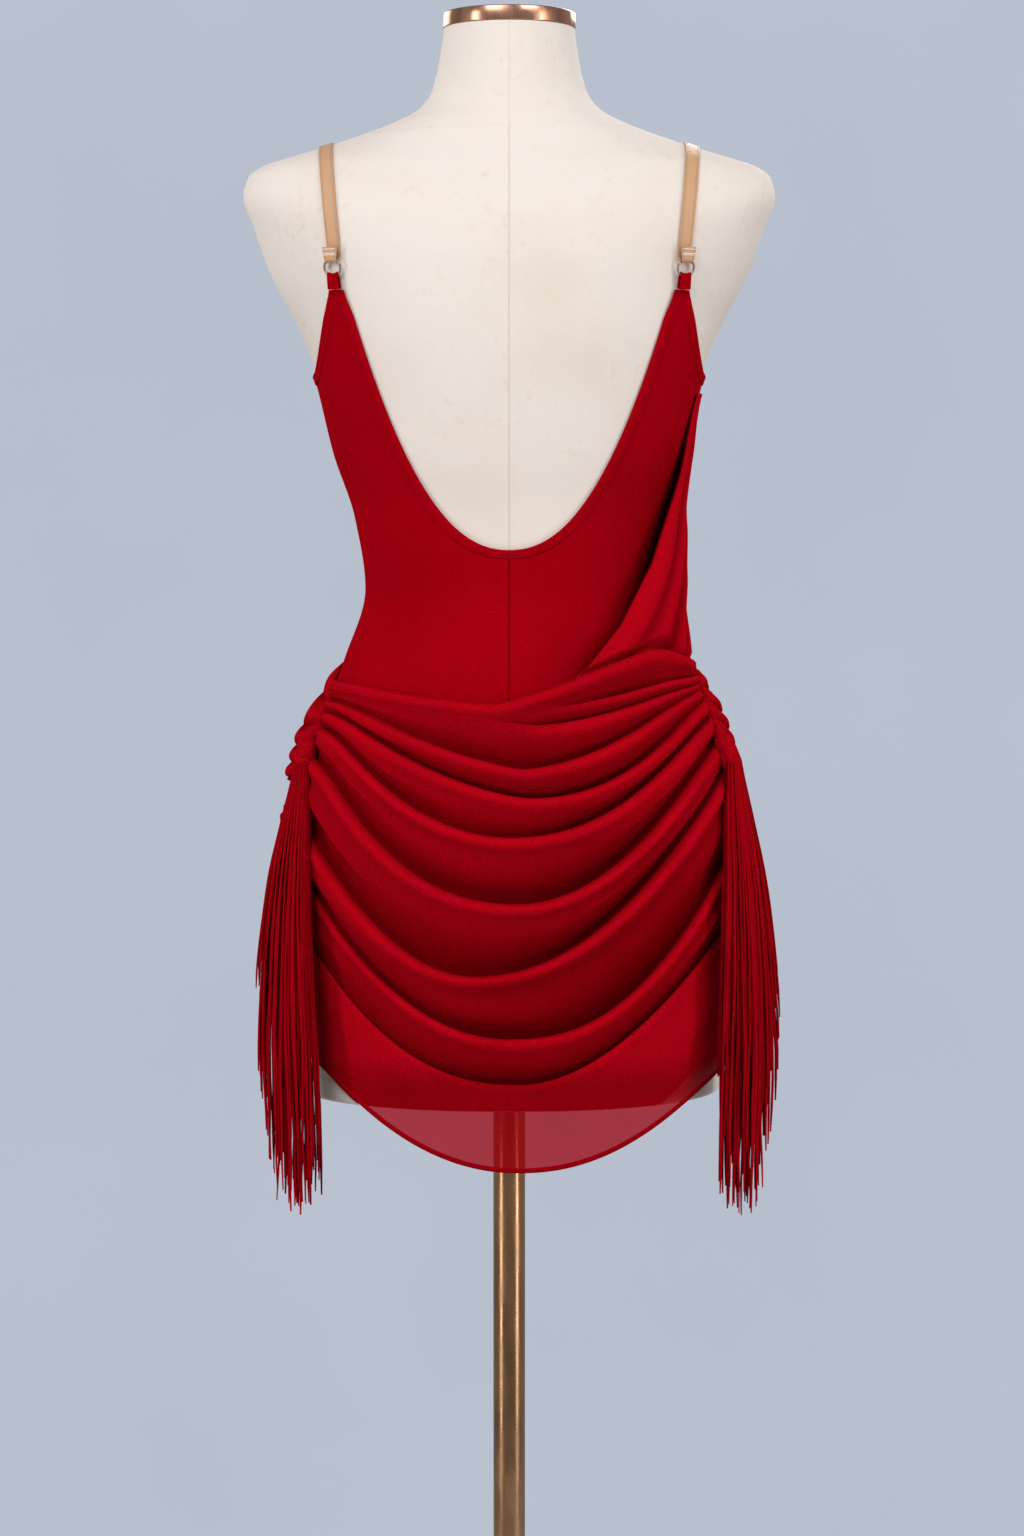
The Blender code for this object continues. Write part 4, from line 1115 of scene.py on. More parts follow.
@dataclass
class Bodice:
    """The two back panels, the front, and the turned and stitched edges."""

    scoop_bottom: float = 1.1797
    scoop_depth: float = 0.1983
    scoop_half: float = 0.1235
    scoop_power: float = 2.2
    back_point: float = 1.378
    back_point_outer: float = 0.1345
    underarm: float = 1.312
    front_point: float = 1.392
    front_across: float = 0.118
    front_point_width: float = 0.013
    front_neck: float = 1.345
    outer: float = 0.0029
    thickness: float = 0.0012
    turn_width: float = 0.0055
    hem_half: float = 0.178
    above_hem: float = 0.006
    above_base: float = 0.0015
    seam_top: float = 1.178
    side_levels: tuple[float, float] = (1.168, 1.163)
    scoop_rows: int = 64
    bust_level: float = 1.34

    def scoop(self, x: np.ndarray) -> np.ndarray:
        """Height of the back's scooped edge."""
        return self.scoop_bottom + self.scoop_depth * (np.abs(x) / self.scoop_half) ** self.scoop_power

    def outer_edge(self, z: float) -> float:
        """Angle of the right back panel's outer edge: the armhole, and the side seam below.

        Args:
            z: Height.

        Returns:
            The angle.
        """
        if z <= self.underarm:
            return -0.0003
        t = (z - self.underarm) / (self.back_point - self.underarm)
        side = float(FIGURE.half_width(np.array(self.underarm))) * 0.9995
        return float(FIGURE.angle_at(mix(side, self.back_point_outer, t**0.75), z))

    def back_hem(self, x: np.ndarray) -> np.ndarray:
        """Height of the under layer's lower edge, along the hip drape's hem."""
        hem = HipDrape.folds[-1].height(x, self.hem_half, self.hem_half)
        return np.maximum(hem + self.above_hem, FIGURE.base + self.above_base)

    def back(self, hip: Hip) -> Piece:
        """One back panel, from the scoop and the centre seam out to the side seam.

        Args:
            hip: The side that it is on.

        Returns:
            The piece.
        """
        shares = np.concatenate([[0, 0.004, 0.009, 0.016, 0.03], np.linspace(0.055, 1, 40)])
        angles, heights = [], []
        for t in np.linspace(0, 1, self.scoop_rows) ** 0.9:
            x = mix(self.scoop_half, 0.0001, t)
            z = float(self.scoop(x))
            z_out = mix(self.back_point, self.side_levels[0], t**0.85)
            angles.append(mix(float(FIGURE.angle_at(x, z)), self.outer_edge(z_out), shares))
            heights.append(mix(z, z_out, shares))
        start = -math.pi / 2 + 0.0002
        hems = [float(self.back_hem(np.array(x))) for x in (0.0, self.hem_half)]
        for t in np.linspace(0, 1, 80):
            z_in, z_out = mix(self.seam_top, hems[0], t), mix(self.side_levels[1], hems[1], t)
            angle = mix(start, self.outer_edge(z_out), shares)
            z = mix(z_in, z_out, shares)
            hem = self.back_hem(FIGURE.at(angle, z)[:, 0])
            share = 1.0 if t == 1 else float(smooth((0.90 - z_in) / 0.13))
            heights.append(mix(z, np.maximum(z, hem) if t < 1 else hem, share))
            angles.append(angle)
        angles, heights = np.array(angles), np.array(heights)
        if hip is Hip.LEFT:
            angles = -math.pi - angles
        groove = np.zeros(angles.shape)
        groove[self.scoop_rows :] = bell(shares, 0.005)[None, :]
        grid = FIGURE.at(angles, heights, self.outer - 0.0013 * groove)
        # Painted shade in the centre seam's groove, and on the right panel the painted shadow cast by
        # the side drape's inner edge.
        shade = 0.35 * groove
        if hip is Hip.RIGHT:
            shade = np.maximum(shade, SideDrape().shadow(grid))
        made = sheet("bodice_back_" + hip.word, grid, self.thickness, Finishes.CREPE, shade)
        return stand_in(made, "back_" + hip.word)

    def front_top(self, x: float) -> float:
        """Height of the front's upper edge: neckline, strap points and armholes.

        Args:
            x: Distance to the side.

        Returns:
            The height.
        """
        inner = self.front_across - self.front_point_width / 2
        outer = self.front_across + self.front_point_width / 2
        x = abs(x)
        if x <= inner:
            return mix(self.front_neck, self.front_point, (x / inner) ** 3)
        if x <= outer:
            return self.front_point
        side = float(FIGURE.half_width(np.array(self.underarm)))
        return mix(self.front_point, self.underarm, min((x - outer) / (side - outer), 1.0) ** 0.6)

    def front_hem(self, x: float) -> float:
        """Height of the front's lower edge under the front drape."""
        sag = FrontDrape.hem_ends - FrontDrape.hem_sag * (1 - min(abs(x) / self.hem_half, 1.0) ** 2)
        return max(sag + self.above_hem, FIGURE.base + self.above_base)

    def front(self) -> Piece:
        """The front in one piece, shaped over the bust.

        Returns:
            The piece.
        """
        inner = self.front_across - self.front_point_width / 2
        outer = self.front_across + self.front_point_width / 2
        side = float(FIGURE.half_width(np.array(self.underarm)))
        marks = [*np.linspace(0, inner, 26), outer, *np.linspace(outer + 0.003, side * 0.985, 10)]
        marks.append(side * 0.9999)
        marks = [-m for m in reversed(marks[1:])] + marks
        down = np.concatenate([np.linspace(0, 0.30, 46), np.linspace(0.30, 1, 56)[1:]])
        angles, heights = [], []
        for x in marks:
            top = self.front_top(x)
            start = float(FIGURE.angle_at(x, min(top, self.bust_level), front=True))
            if abs(x) > side * 0.999:
                start = -0.0001 if x > 0 else math.pi + 0.0001
                end = start
            else:
                end = float(FIGURE.angle_at(x * 1.13, 0.90, front=True))
            angles.append(mix(start, end, smooth(down * 1.6)))
            heights.append(mix(top, self.front_hem(x * 1.18), down))
        grid = FIGURE.at(np.array(angles).T, np.array(heights).T, self.outer)
        made = sheet("bodice_front", grid, self.thickness, Finishes.CREPE)
        return stand_in(made, "front")

    def turned_edge(
        self, name: str, angle: np.ndarray, z: np.ndarray, towards: float, node: str
    ) -> Piece:
        """The edge's turned-in band, rolled over the cloth's edge and stitched down.

        Args:
            name: Piece name.
            angle: Angle of each point of the edge.
            z: Its height.
            towards: 1 or -1, the side of the edge that the cloth is on.
            node: CAD node that it stands for.

        Returns:
            The piece.
        """
        here = FIGURE.at(angle, z)
        scale = np.hypot(here[:, 0], here[:, 1])
        run, rise = np.gradient(angle) * scale, np.gradient(z)
        length = np.hypot(run, rise)
        turn = -rise / length * towards * self.turn_width / scale
        lift = run / length * towards * self.turn_width
        section = (
            (-0.10, 0.0010), (-0.17, 0.0020), (-0.15, 0.0032), (-0.04, 0.0041), (0.12, 0.0043),
            (0.40, 0.0041), (0.70, 0.0040), (0.84, 0.0038), (0.95, 0.0039), (1.04, 0.0036),
            (1.07, 0.0030),
        )
        along = np.concatenate([[0], np.cumsum(np.linalg.norm(np.diff(here, axis=0), axis=1))])
        held = smooth(np.minimum(along, along[-1] - along) / 0.022)
        rows = []
        for share, off in section:
            share = share * held if share < 0 else share
            off = mix(0.0028, off, 0.25 + 0.75 * held)
            rows.append(FIGURE.at(angle + turn * share, z + lift * share, off))
        made = sheet(name, np.stack(rows, 1), 0.0006, Finishes.BINDING)
        return stand_in(made, node)

    def edges(self) -> list[Piece]:
        """The turned edges of the scoop, the armholes and the front neck.

        Returns:
            The pieces.
        """
        x = self.scoop_half * 0.994 * np.sin(math.pi * (np.linspace(0, 1, 201) - 0.5))
        z = self.scoop(x)
        made = [self.turned_edge("scoop_edge", FIGURE.angle_at(x, z), z, -1, "scoop_binding")]
        for hip in Hip:
            z = np.linspace(self.back_point - 0.004, self.underarm + 0.002, 40)
            angle = np.array([self.outer_edge(h) for h in z])
            across = np.linspace(0.1494, 0.1270, 28)
            top = np.array([self.front_top(a) for a in across])
            front = FIGURE.angle_at(across, np.minimum(top, self.bust_level), front=True)
            z = np.concatenate([z, top])
            angle = np.concatenate([angle, front])
            if hip is Hip.LEFT:
                angle = np.where(angle < 0, -math.pi - angle, math.pi - angle)
                angle = np.unwrap(angle)
            name = "armhole_edge_" + hip.word
            node = "armhole_binding_" + hip.word
            made.append(
                self.turned_edge(name, softened(angle, 3), softened(z, 3), -hip.value, node)
            )
        inner = self.front_across - self.front_point_width / 2
        x = np.linspace(-inner * 0.97, inner * 0.97, 121)
        top = np.array([self.front_top(a) for a in x])
        angle = FIGURE.angle_at(x, np.minimum(top, self.bust_level), front=True)
        made.append(self.turned_edge("front_neck_edge", angle, top, 1, "front_neck_binding"))
        return made

    def make(self) -> list[Piece]:
        """Makes the bodice and logs its cloth's areas.

        Returns:
            The pieces.
        """
        backs = [self.back(hip) for hip in Hip]
        front = self.front()
        edges = self.edges()
        declare(backs[0], (0.30, 0.64))
        declare(backs[1], (0.30, 0.64))
        declare(front, (0.56, 0.66))
        return [*backs, front, *edges]


def declare(
    piece: Piece, flat: tuple[float, float],
) -> None:
    """Logs a cloth piece's worn area beside the size it is cut to.

    Args:
        piece: The cloth.
        flat: Width and length of the cut.
    """
    LOG.info("%s: worn area %.4f, flat %.4f", piece.name, piece["cloth_area"], flat[0] * flat[1])


# ---- straps, rings and loops


@dataclass
class Hangings:
    """The cloth loop, metal ring and elastic strap of each shoulder."""

    ring_height: float = 1.3955
    ring_across: float = 0.1325
    ring_radius: float = 0.0069
    wire: float = 0.0009
    bore: float = 0.0016
    grip: float = 0.0084
    loop_width: float = 0.0096
    strap_width: float = 0.0108
    thickness: float = 0.0010
    strap_off: float = 0.0008
    crest_across: float = 0.1415
    back_point: float = Bodice.back_point
    front_point: float = Bodice.front_point
    front_across: float = Bodice.front_across

    def frame(self, hip: Hip) -> tuple[np.ndarray, ...]:
        """Centre of the ring and its directions: up the back, out of it, and across.

        Args:
            hip: The side that it is on.

        Returns:
            The centre and the three directions.
        """
        z = self.ring_height
        foot = FIGURE.at(float(FIGURE.angle_at(hip.value * self.ring_across, z)), z)
        out = FIGURE.outward(foot)
        up = unit(np.array([0.0, 0.0, 1.0]) - out * out[2])
        return foot + out * 0.0040, up, out, np.cross(up, out)

    def ring(self, hip: Hip) -> Piece:
        """The wire ring.

        Args:
            hip: The side that it is on.

        Returns:
            The piece.
        """
        centre, up, out, across = self.frame(hip)
        deselect()
        bpy.ops.mesh.primitive_torus_add(
            major_radius=self.ring_radius, minor_radius=self.wire, major_segments=56, minor_segments=14
        )
        turn = Matrix((across, up, out)).transposed().to_4x4()
        turn.translation = Vector(centre)
        made = place_and_dress(bpy.context.object, "strap_ring_" + hip.word, Finishes.RING, turn)
        return stand_in(made, "ring_" + hip.word)

    def hairpin(
        self, wire: np.ndarray, up: np.ndarray, out: np.ndarray, outer: float, inner: float
    ) -> tuple[np.ndarray, np.ndarray]:
        """Path round the wire from the outer leg to the inner one.

        Args:
            wire: Centre of the wire.
            up: Direction of the legs.
            out: Direction from the inner leg to the outer one.
            outer: Length of the outer leg.
            inner: Length of the inner leg, or 0 for none.

        Returns:
            The path's points and the way that the strip faces at each.
        """
        path, facing = [], []
        for distance in np.linspace(outer, 0.0005, 10):
            path.append(wire + out * self.bore + up * distance)
            facing.append(out)
        for turn in np.linspace(0, math.pi, 17):
            direction = out * math.cos(turn) - up * math.sin(turn)
            path.append(wire + direction * self.bore)
            facing.append(direction)
        for distance in np.linspace(0.0005, inner, 10)[: 10 if inner else 0]:
            path.append(wire - out * self.bore + up * distance)
            facing.append(-out)
        return np.array(path), np.array(facing)

    def strip(
        self, name: str, path: np.ndarray, facing: np.ndarray, across: np.ndarray,
        width: np.ndarray, lift: np.ndarray, at_ring: np.ndarray, finish: Finishes,
    ) -> Piece:
        """A strip along a path that arches with the ring where it passes round it.

        Args:
            name: Piece name.
            path: Points along its middle.
            facing: The way it faces at each.
            across: Direction of its width at each.
            width: Its width at each.
            lift: Direction in which it arches.
            at_ring: How much of the arch there is at each point.
            finish: Its finish.

        Returns:
            The piece.
        """
        shares = np.array([-0.5, -0.47, -0.40, -0.25, 0.0, 0.25, 0.40, 0.47, 0.5])
        edge = np.array([0.55, 0.9, 1.0, 1.0, 1.0, 1.0, 1.0, 0.9, 0.55])
        step = width[:, None] * shares[None, :]
        near = np.minimum(np.abs(step), self.ring_radius)
        arch = (self.ring_radius - np.sqrt(self.ring_radius**2 - near**2)) * at_ring[:, None]
        grid = path[:, None] + across[:, None] * step[..., None] + lift * arch[..., None]
        high = grid + facing[:, None] * (self.thickness * edge)[None, :, None]
        faces = wall_faces(*grid.shape[:2])
        length = run_length(path[:, None], 0)
        uv = np.stack(
            np.broadcast_arrays((shares * self.strap_width + self.strap_width / 2)[None], length), -1
        )
        made = build(
            name, np.concatenate([high, grid]), faces, finish, np.concatenate([uv, uv]), crease=60
        )
        made["cloth_area"] = grid_area(high)
        return made

    def loop(self, hip: Hip) -> Piece:
        """The cloth loop that joins the ring to the back's point.

        Args:
            hip: The side that it is on.

        Returns:
            The piece.
        """
        centre, up, out, across = self.frame(hip)
        wire = centre - up * self.ring_radius
        reach = wire[2] - self.back_point - 0.0004
        path, facing = self.hairpin(wire, -up, out, reach, reach)
        at_ring = smooth(1 - np.abs(np.arange(len(path)) - 18) / 22)
        width = mix(self.loop_width, self.grip, at_ring)
        flat = np.broadcast_to(across, path.shape)
        made = self.strip(
            "ring_loop_" + hip.word, path, facing, flat, width, up, at_ring, Finishes.CREPE
        )
        return stand_in(made, "loop_" + hip.word)

    def crest(self, x: float) -> float:
        """Height at which the shoulder line passes over x.

        Args:
            x: Distance to the side.

        Returns:
            The height.
        """
        low, high = 1.460, 1.530
        for _ in range(40):
            middle = (low + high) / 2
            if float(FIGURE.half_width(np.array(middle))) > abs(x):
                low = middle
            else:
                high = middle
        return low

    def over_shoulder(self, sign: int) -> np.ndarray:
        """Points of the figure under a strap, from the ring over to the front.

        Args:
            sign: -1 for the left shoulder and 1 for the right.

        Returns:
            The points.
        """
        turn = np.linspace(0, math.pi, 81)
        front = turn > math.pi / 2
        end = np.where(front, self.front_point + 0.004, self.ring_height + self.ring_radius + 0.003)
        across = np.where(front, self.front_across, self.ring_across)
        x = mix(across, self.crest_across, np.sin(turn))
        crest = np.array([self.crest(float(v)) for v in x]) - 1e-5
        z = mix(end, crest, np.sin(turn))
        n = FIGURE.roundness(z)
        rest = np.maximum(1 - (x / FIGURE.half_width(z)) ** n, 0.0) ** (1 / n)
        y = FIGURE.depth(z, front) * rest
        y = np.where(front, y + FIGURE.bust(x, z), -y)
        return np.stack([sign * x, y, z], -1)

    def strap(self, hip: Hip) -> list[Piece]:
        """The elastic strap, turned round the ring and sewn back on itself, and its bar tack.

        Args:
            hip: The side that it is on.

        Returns:
            The strap and the tack.
        """
        centre, up, out, across = self.frame(hip)
        wire = centre + up * self.ring_radius
        path, facing = self.hairpin(wire, up, out, 0.0090, 0.0)
        bend = len(path)
        under = self.over_shoulder(hip.value)
        normals = []
        for p in under:
            shifted = p + np.array([0, 1e-6 if p[1] >= 0 else -1e-6, 0])
            normals.append(FIGURE.outward(shifted))
        normals = np.array(normals)
        sideways = unit(np.cross(unit(np.gradient(under, axis=0)), normals))
        path = np.concatenate([path, under + normals * (self.strap_off + self.thickness)])
        facing = np.concatenate([facing, -normals])
        flat = np.concatenate([np.broadcast_to(across, (bend, 3)), sideways])
        order = np.arange(len(path))
        at_ring = smooth(1 - np.abs(order - 18) / 11) * (order < bend)
        width = mix(self.strap_width, self.grip, at_ring)
        width[:9] = mix(self.strap_width + 0.0012, width[:9], smooth(np.linspace(0, 1, 9) - 0.25))
        name = "elastic_strap_" + hip.word
        made = self.strip(name, path, facing, flat, width, -up, at_ring, Finishes.ELASTIC)
        stand_in(made, "strap_" + hip.word)
        rows = []
        for rise in (0.0030, 0.0042, 0.0074):
            start = wire + out * (self.bore + self.thickness + 0.00015) + up * rise
            steps = np.linspace(-0.5, 0.5, 9)[:, None] * (self.strap_width - 0.0002)
            rows.append(start + across * steps)
        tack = tubes(
            "bar_tack_" + hip.word, rows, [np.full(9, 0.00032)] * 3, 6, Finishes.THREAD, out
        )
        return [made, tack]

    def make(self) -> list[Piece]:
        """Returns:
            The pieces.
        """
        made = []
        for hip in Hip:
            ring = self.ring(hip)
            loop = self.loop(hip)
            strap, tack = self.strap(hip)
            declare(loop, (0.0100, 0.032))
            declare(strap, (0.0118, 0.36))
            made += [ring, loop, strap, tack]
        return made


# ---- sagging folds


@dataclass(frozen=True)
class Fold:
    """One sagging crest line of the back hip drape."""

    lowest: float
    left: float
    right: float
    centre: float
    left_power: float
    right_power: float
    crest: float
    starts: float = -2.0  # where along it the crest begins, from -1 at the left to 1
    dip: float = 0.0  # how far it is pulled down at the right seam
    ends: float = 1.0  # share of the crest that is left towards its two ends

    def height(self, x: np.ndarray, half_left: float, half_right: float) -> np.ndarray:
        """Height of the crest at x, for the half widths at its ends.

        Args:
            x: Distance to the side.
            half_left: Half width at its left end.
            half_right: Half width at its right end.

        Returns:
            The height.
        """
        left = np.clip((self.centre - x) / (self.centre + half_left), 0, 1)
        right = np.clip((x - self.centre) / (half_right - self.centre), 0, 1)
        down = mix(self.lowest, self.left, left**self.left_power)
        up = mix(self.lowest, self.right, right**self.right_power)
        return np.where(x < self.centre, down, up) - self.dip * bell(x - half_right, 0.016)


@dataclass(frozen=True)
class Ripple:
    """A small extra ridge between two crests, which dies out along its length."""

    band: int
    down: float
    along: float
    length: float
    height: float


@dataclass
class FoldedCloth:
    """Cloth that hangs in rolled folds between crest lines, each tucked behind the next."""

    roll: float = 0.0084
    roll_share: float = 0.32
    tuck: float = 0.0028
    columns: int = 161
    thickness: float = 0.0007
    line_off: float = 0.010
    fine_steps: int = 900
    side_line: float = 0.024
    tuck_share: float = 0.13

    near = (
        (0.0, 0.58), (0.07, 0.77), (0.20, 0.92), (0.42, 1.0), (0.70, 0.97), (1.00, 0.86),
        (1.35, 0.70), (1.70, 0.58),
    )
    body = (
        (0.0, 0.58), (0.18, 0.52), (0.36, 0.44), (0.54, 0.34), (0.70, 0.23), (0.85, 0.10),
        (1.0, -0.02),
    )
    # Painted shade down a band, by the same steps as near and body: little below the crest, most where
    # it tucks behind the next crest.
    near_dark = (
        (0.0, 0.45), (0.12, 0.10), (0.22, 0.0), (0.60, 0.02), (0.80, 0.12), (1.0, 0.30),
        (1.35, 0.47), (1.70, 0.54),
    )
    body_dark = ((0.0, 0.54), (0.2, 0.57), (0.4, 0.62), (0.6, 0.72), (0.8, 0.88), (1.0, 1.0))
    under = ((0.90, 0.02), (1.0, 0.12), (0.75, 0.27), (0.32, 0.42), (0.0, 0.58))
    lowest = ((0, 0.8), (0.06, 1), (0.16, 0.72), (0.34, 0.3), (0.6, 0.06), (1.0, 0))

    def resample(self, angle: np.ndarray, z: np.ndarray, share: np.ndarray) -> np.ndarray:
        """Angle, height and angle share at even steps along a crest line.

        Args:
            angle: Angles along the line.
            z: Heights along it.
            share: Angle shares along it.

        Returns:
            The three at even steps.
        """
        length = run_length(FIGURE.at(angle, z, self.line_off)[:, None], 0)[:, 0]
        even = np.linspace(0, 1, self.columns)
        even = mix(even, (1 - np.cos(math.pi * even)) / 2, 0.35) * length[-1]
        return np.array([np.interp(even, length, v) for v in (angle, z, share)])

    def profile(
        self, down: np.ndarray, roll: np.ndarray, stop: np.ndarray, dark: bool = False
    ) -> np.ndarray:
        """Share of a crest's height left at a distance down from it, or how dark it is there.

        Args:
            down: Distance down from the crest.
            roll: Size of the crest.
            stop: Distance at which the next crest begins.
            dark: Whether the darkness is asked for.

        Returns:
            The share.
        """
        near, body = (self.near_dark, self.body_dark) if dark else (self.near, self.body)
        end = near[-1][0]
        first = np.interp(down / roll, *np.array(near).T)
        part = (down - end * roll) / np.maximum(stop - end * roll, 1e-6)
        return np.where(down < end * roll, first, np.interp(part, *np.array(body).T))

    def grid(
        self, crests: np.ndarray, outs: np.ndarray, weights: np.ndarray, shade: np.ndarray,
        base: Callable[[np.ndarray], Number], ripples: tuple[Ripple, ...] = (),
    ) -> tuple[np.ndarray, np.ndarray]:
        """Angle, height and distance off the figure of every point of the cloth.

        Args:
            crests: For each crest line its angles, heights and angle shares.
            outs: How far each crest stands out along its length, where there is room.
            weights: How much of each crest there is along its length, from 0 to 1.
            shade: Strength of the painted shade in the pockets across the cloth.
            base: Function of the angle share for how far the troughs stand off.
            ripples: Extra small ridges.

        Returns:
            The points' (angle, height, off) and the painted fold shade of each.
        """
        lines = [FIGURE.at(c[0], c[1], self.line_off) for c in crests]
        gaps = np.array([np.linalg.norm(b - a, axis=1) for a, b in zip(lines, lines[1:])])
        count = len(crests)
        whole = [k for k in range(count) if weights[k].min() > 0.99]
        room = [np.minimum(gaps[max(k - 1, 0)], gaps[min(k, count - 2)]) for k in range(count)]
        for k in whole:
            before = sum(gaps[j] for j in range(max([i for i in whole if i < k] or [0]), k))
            after = sum(gaps[j] for j in range(k, min([i for i in whole if i > k] or [k])))
            beside = [g for g in (before, after) if not np.isscalar(g)]
            wide = np.minimum.reduce(beside)
            share = weights[max(k - 1, 0)] * weights[min(k + 1, count - 1)]
            room[k] = mix(wide, room[k], share)
        outs = outs * (1 - np.exp(-0.95 * np.array(room) / np.maximum(outs, 1e-5)))
        length = run_length(np.array(lines), 1)
        ends = np.minimum(length, length[:, -1:] - length)
        line = np.linspace(-1, 1, self.columns)
        rows, depths = [], []

        def row(k: int, down: np.ndarray, off: np.ndarray, depth: np.ndarray) -> None:
            """Adds a row at a distance down the band from crest k.

            Args:
                k: The crest.
                down: The distance.
                off: Distance off the troughs.
                depth: Its painted fold shade.
            """
            share = down / gaps[k]
            angle, z, place = (mix(crests[k][i], crests[k + 1][i], share) for i in range(3))
            rows.append(np.stack([angle, z, base(place) + off]))
            depths.append(depth * np.ones(self.columns))

        tuck = np.minimum(self.tuck, self.tuck_share * gaps[0])
        # The top edge turns under, with painted shade as it turns.
        for down, rise in self.under:
            row(0, tuck * down, outs[0] * rise, 0.5 * (1 - rise))
        for k in range(count - 1):
            last = k == count - 2
            first_whole = max(i for i in whole if i <= k)
            next_whole = min(i for i in whole if i > k)
            above = gaps[first_whole:k].sum(axis=0)
            joined = gaps[first_whole:next_whole].sum(axis=0)
            gap, out, after = gaps[k], outs[k], outs[k + 1]
            roll = np.minimum(self.roll, self.roll_share * gap)
            wide_roll = np.minimum(self.roll, self.roll_share * joined)
            tuck = np.minimum(self.tuck, self.tuck_share * gap) * weights[k + 1]
            # Strength of the painted shade in this band's pocket, less where the crest is low.
            dark = smooth(np.minimum(out, gap * 0.5) / 0.008) * shade
            wide_dark = smooth(np.minimum(outs[first_whole], joined * 0.5) / 0.008) * shade
            wave = 0.0012 * np.sin(np.linspace(0, 5.5 + k % 3, self.columns) + 1.9 * k)
            seamed = 0.0020 * np.exp(-ends[k] / 0.055) + 0.0004
            stop = gap if last else gap + 0.25 * tuck
            distances = [roll * d for d, _ in self.near[1:]]
            distances += [mix(self.near[-1][0] * roll, stop, part) for part, _ in self.body[1:]]
            for down in distances:
                part = down / gap
                rise = self.profile(down, roll, stop)
                wide_rise = self.profile(above + down, wide_roll, joined)
                if last:
                    rise = wide_rise = np.interp(part, *np.array(self.lowest).T)
                share = mix(weights[k], weights[k + 1], part)
                if k == first_whole:
                    share = weights[k + 1]
                elif k + 1 == next_whole:
                    share = weights[k]
                off = mix(outs[first_whole] * wide_rise, out * rise, share)
                swell = (wave + seamed * bell(part - 0.45, 0.17) * 1.6) * smooth(gap / 0.02)
                off = off + swell * np.sin(math.pi * np.clip(part, 0, 1))
                for ripple in ripples:
                    if ripple.band == k:
                        ridge = bell(part - ripple.down, 0.13) * ripple.height
                        off = off + ridge * bell(line - ripple.along, ripple.length)
                # Painted shade at this row of the band.
                deep = self.profile(down, roll, stop, True) * dark
                wide_deep = self.profile(above + down, wide_roll, joined, True) * wide_dark
                row(k, down, off, 0.0 if last else mix(wide_deep, deep, share))
            if last:
                continue
            plain = outs[first_whole] * self.profile(above + gap, wide_roll, joined)
            # The tuck behind the next crest, with painted shade as it turns under.
            for down, rise in self.under:
                share = weights[k + 1]
                off = mix(plain, after * rise, share)
                row(k, gap + tuck * down, off, (1 - rise) * dark * share)
        points = np.array(rows)
        return points.transpose(0, 2, 1), np.array(depths)


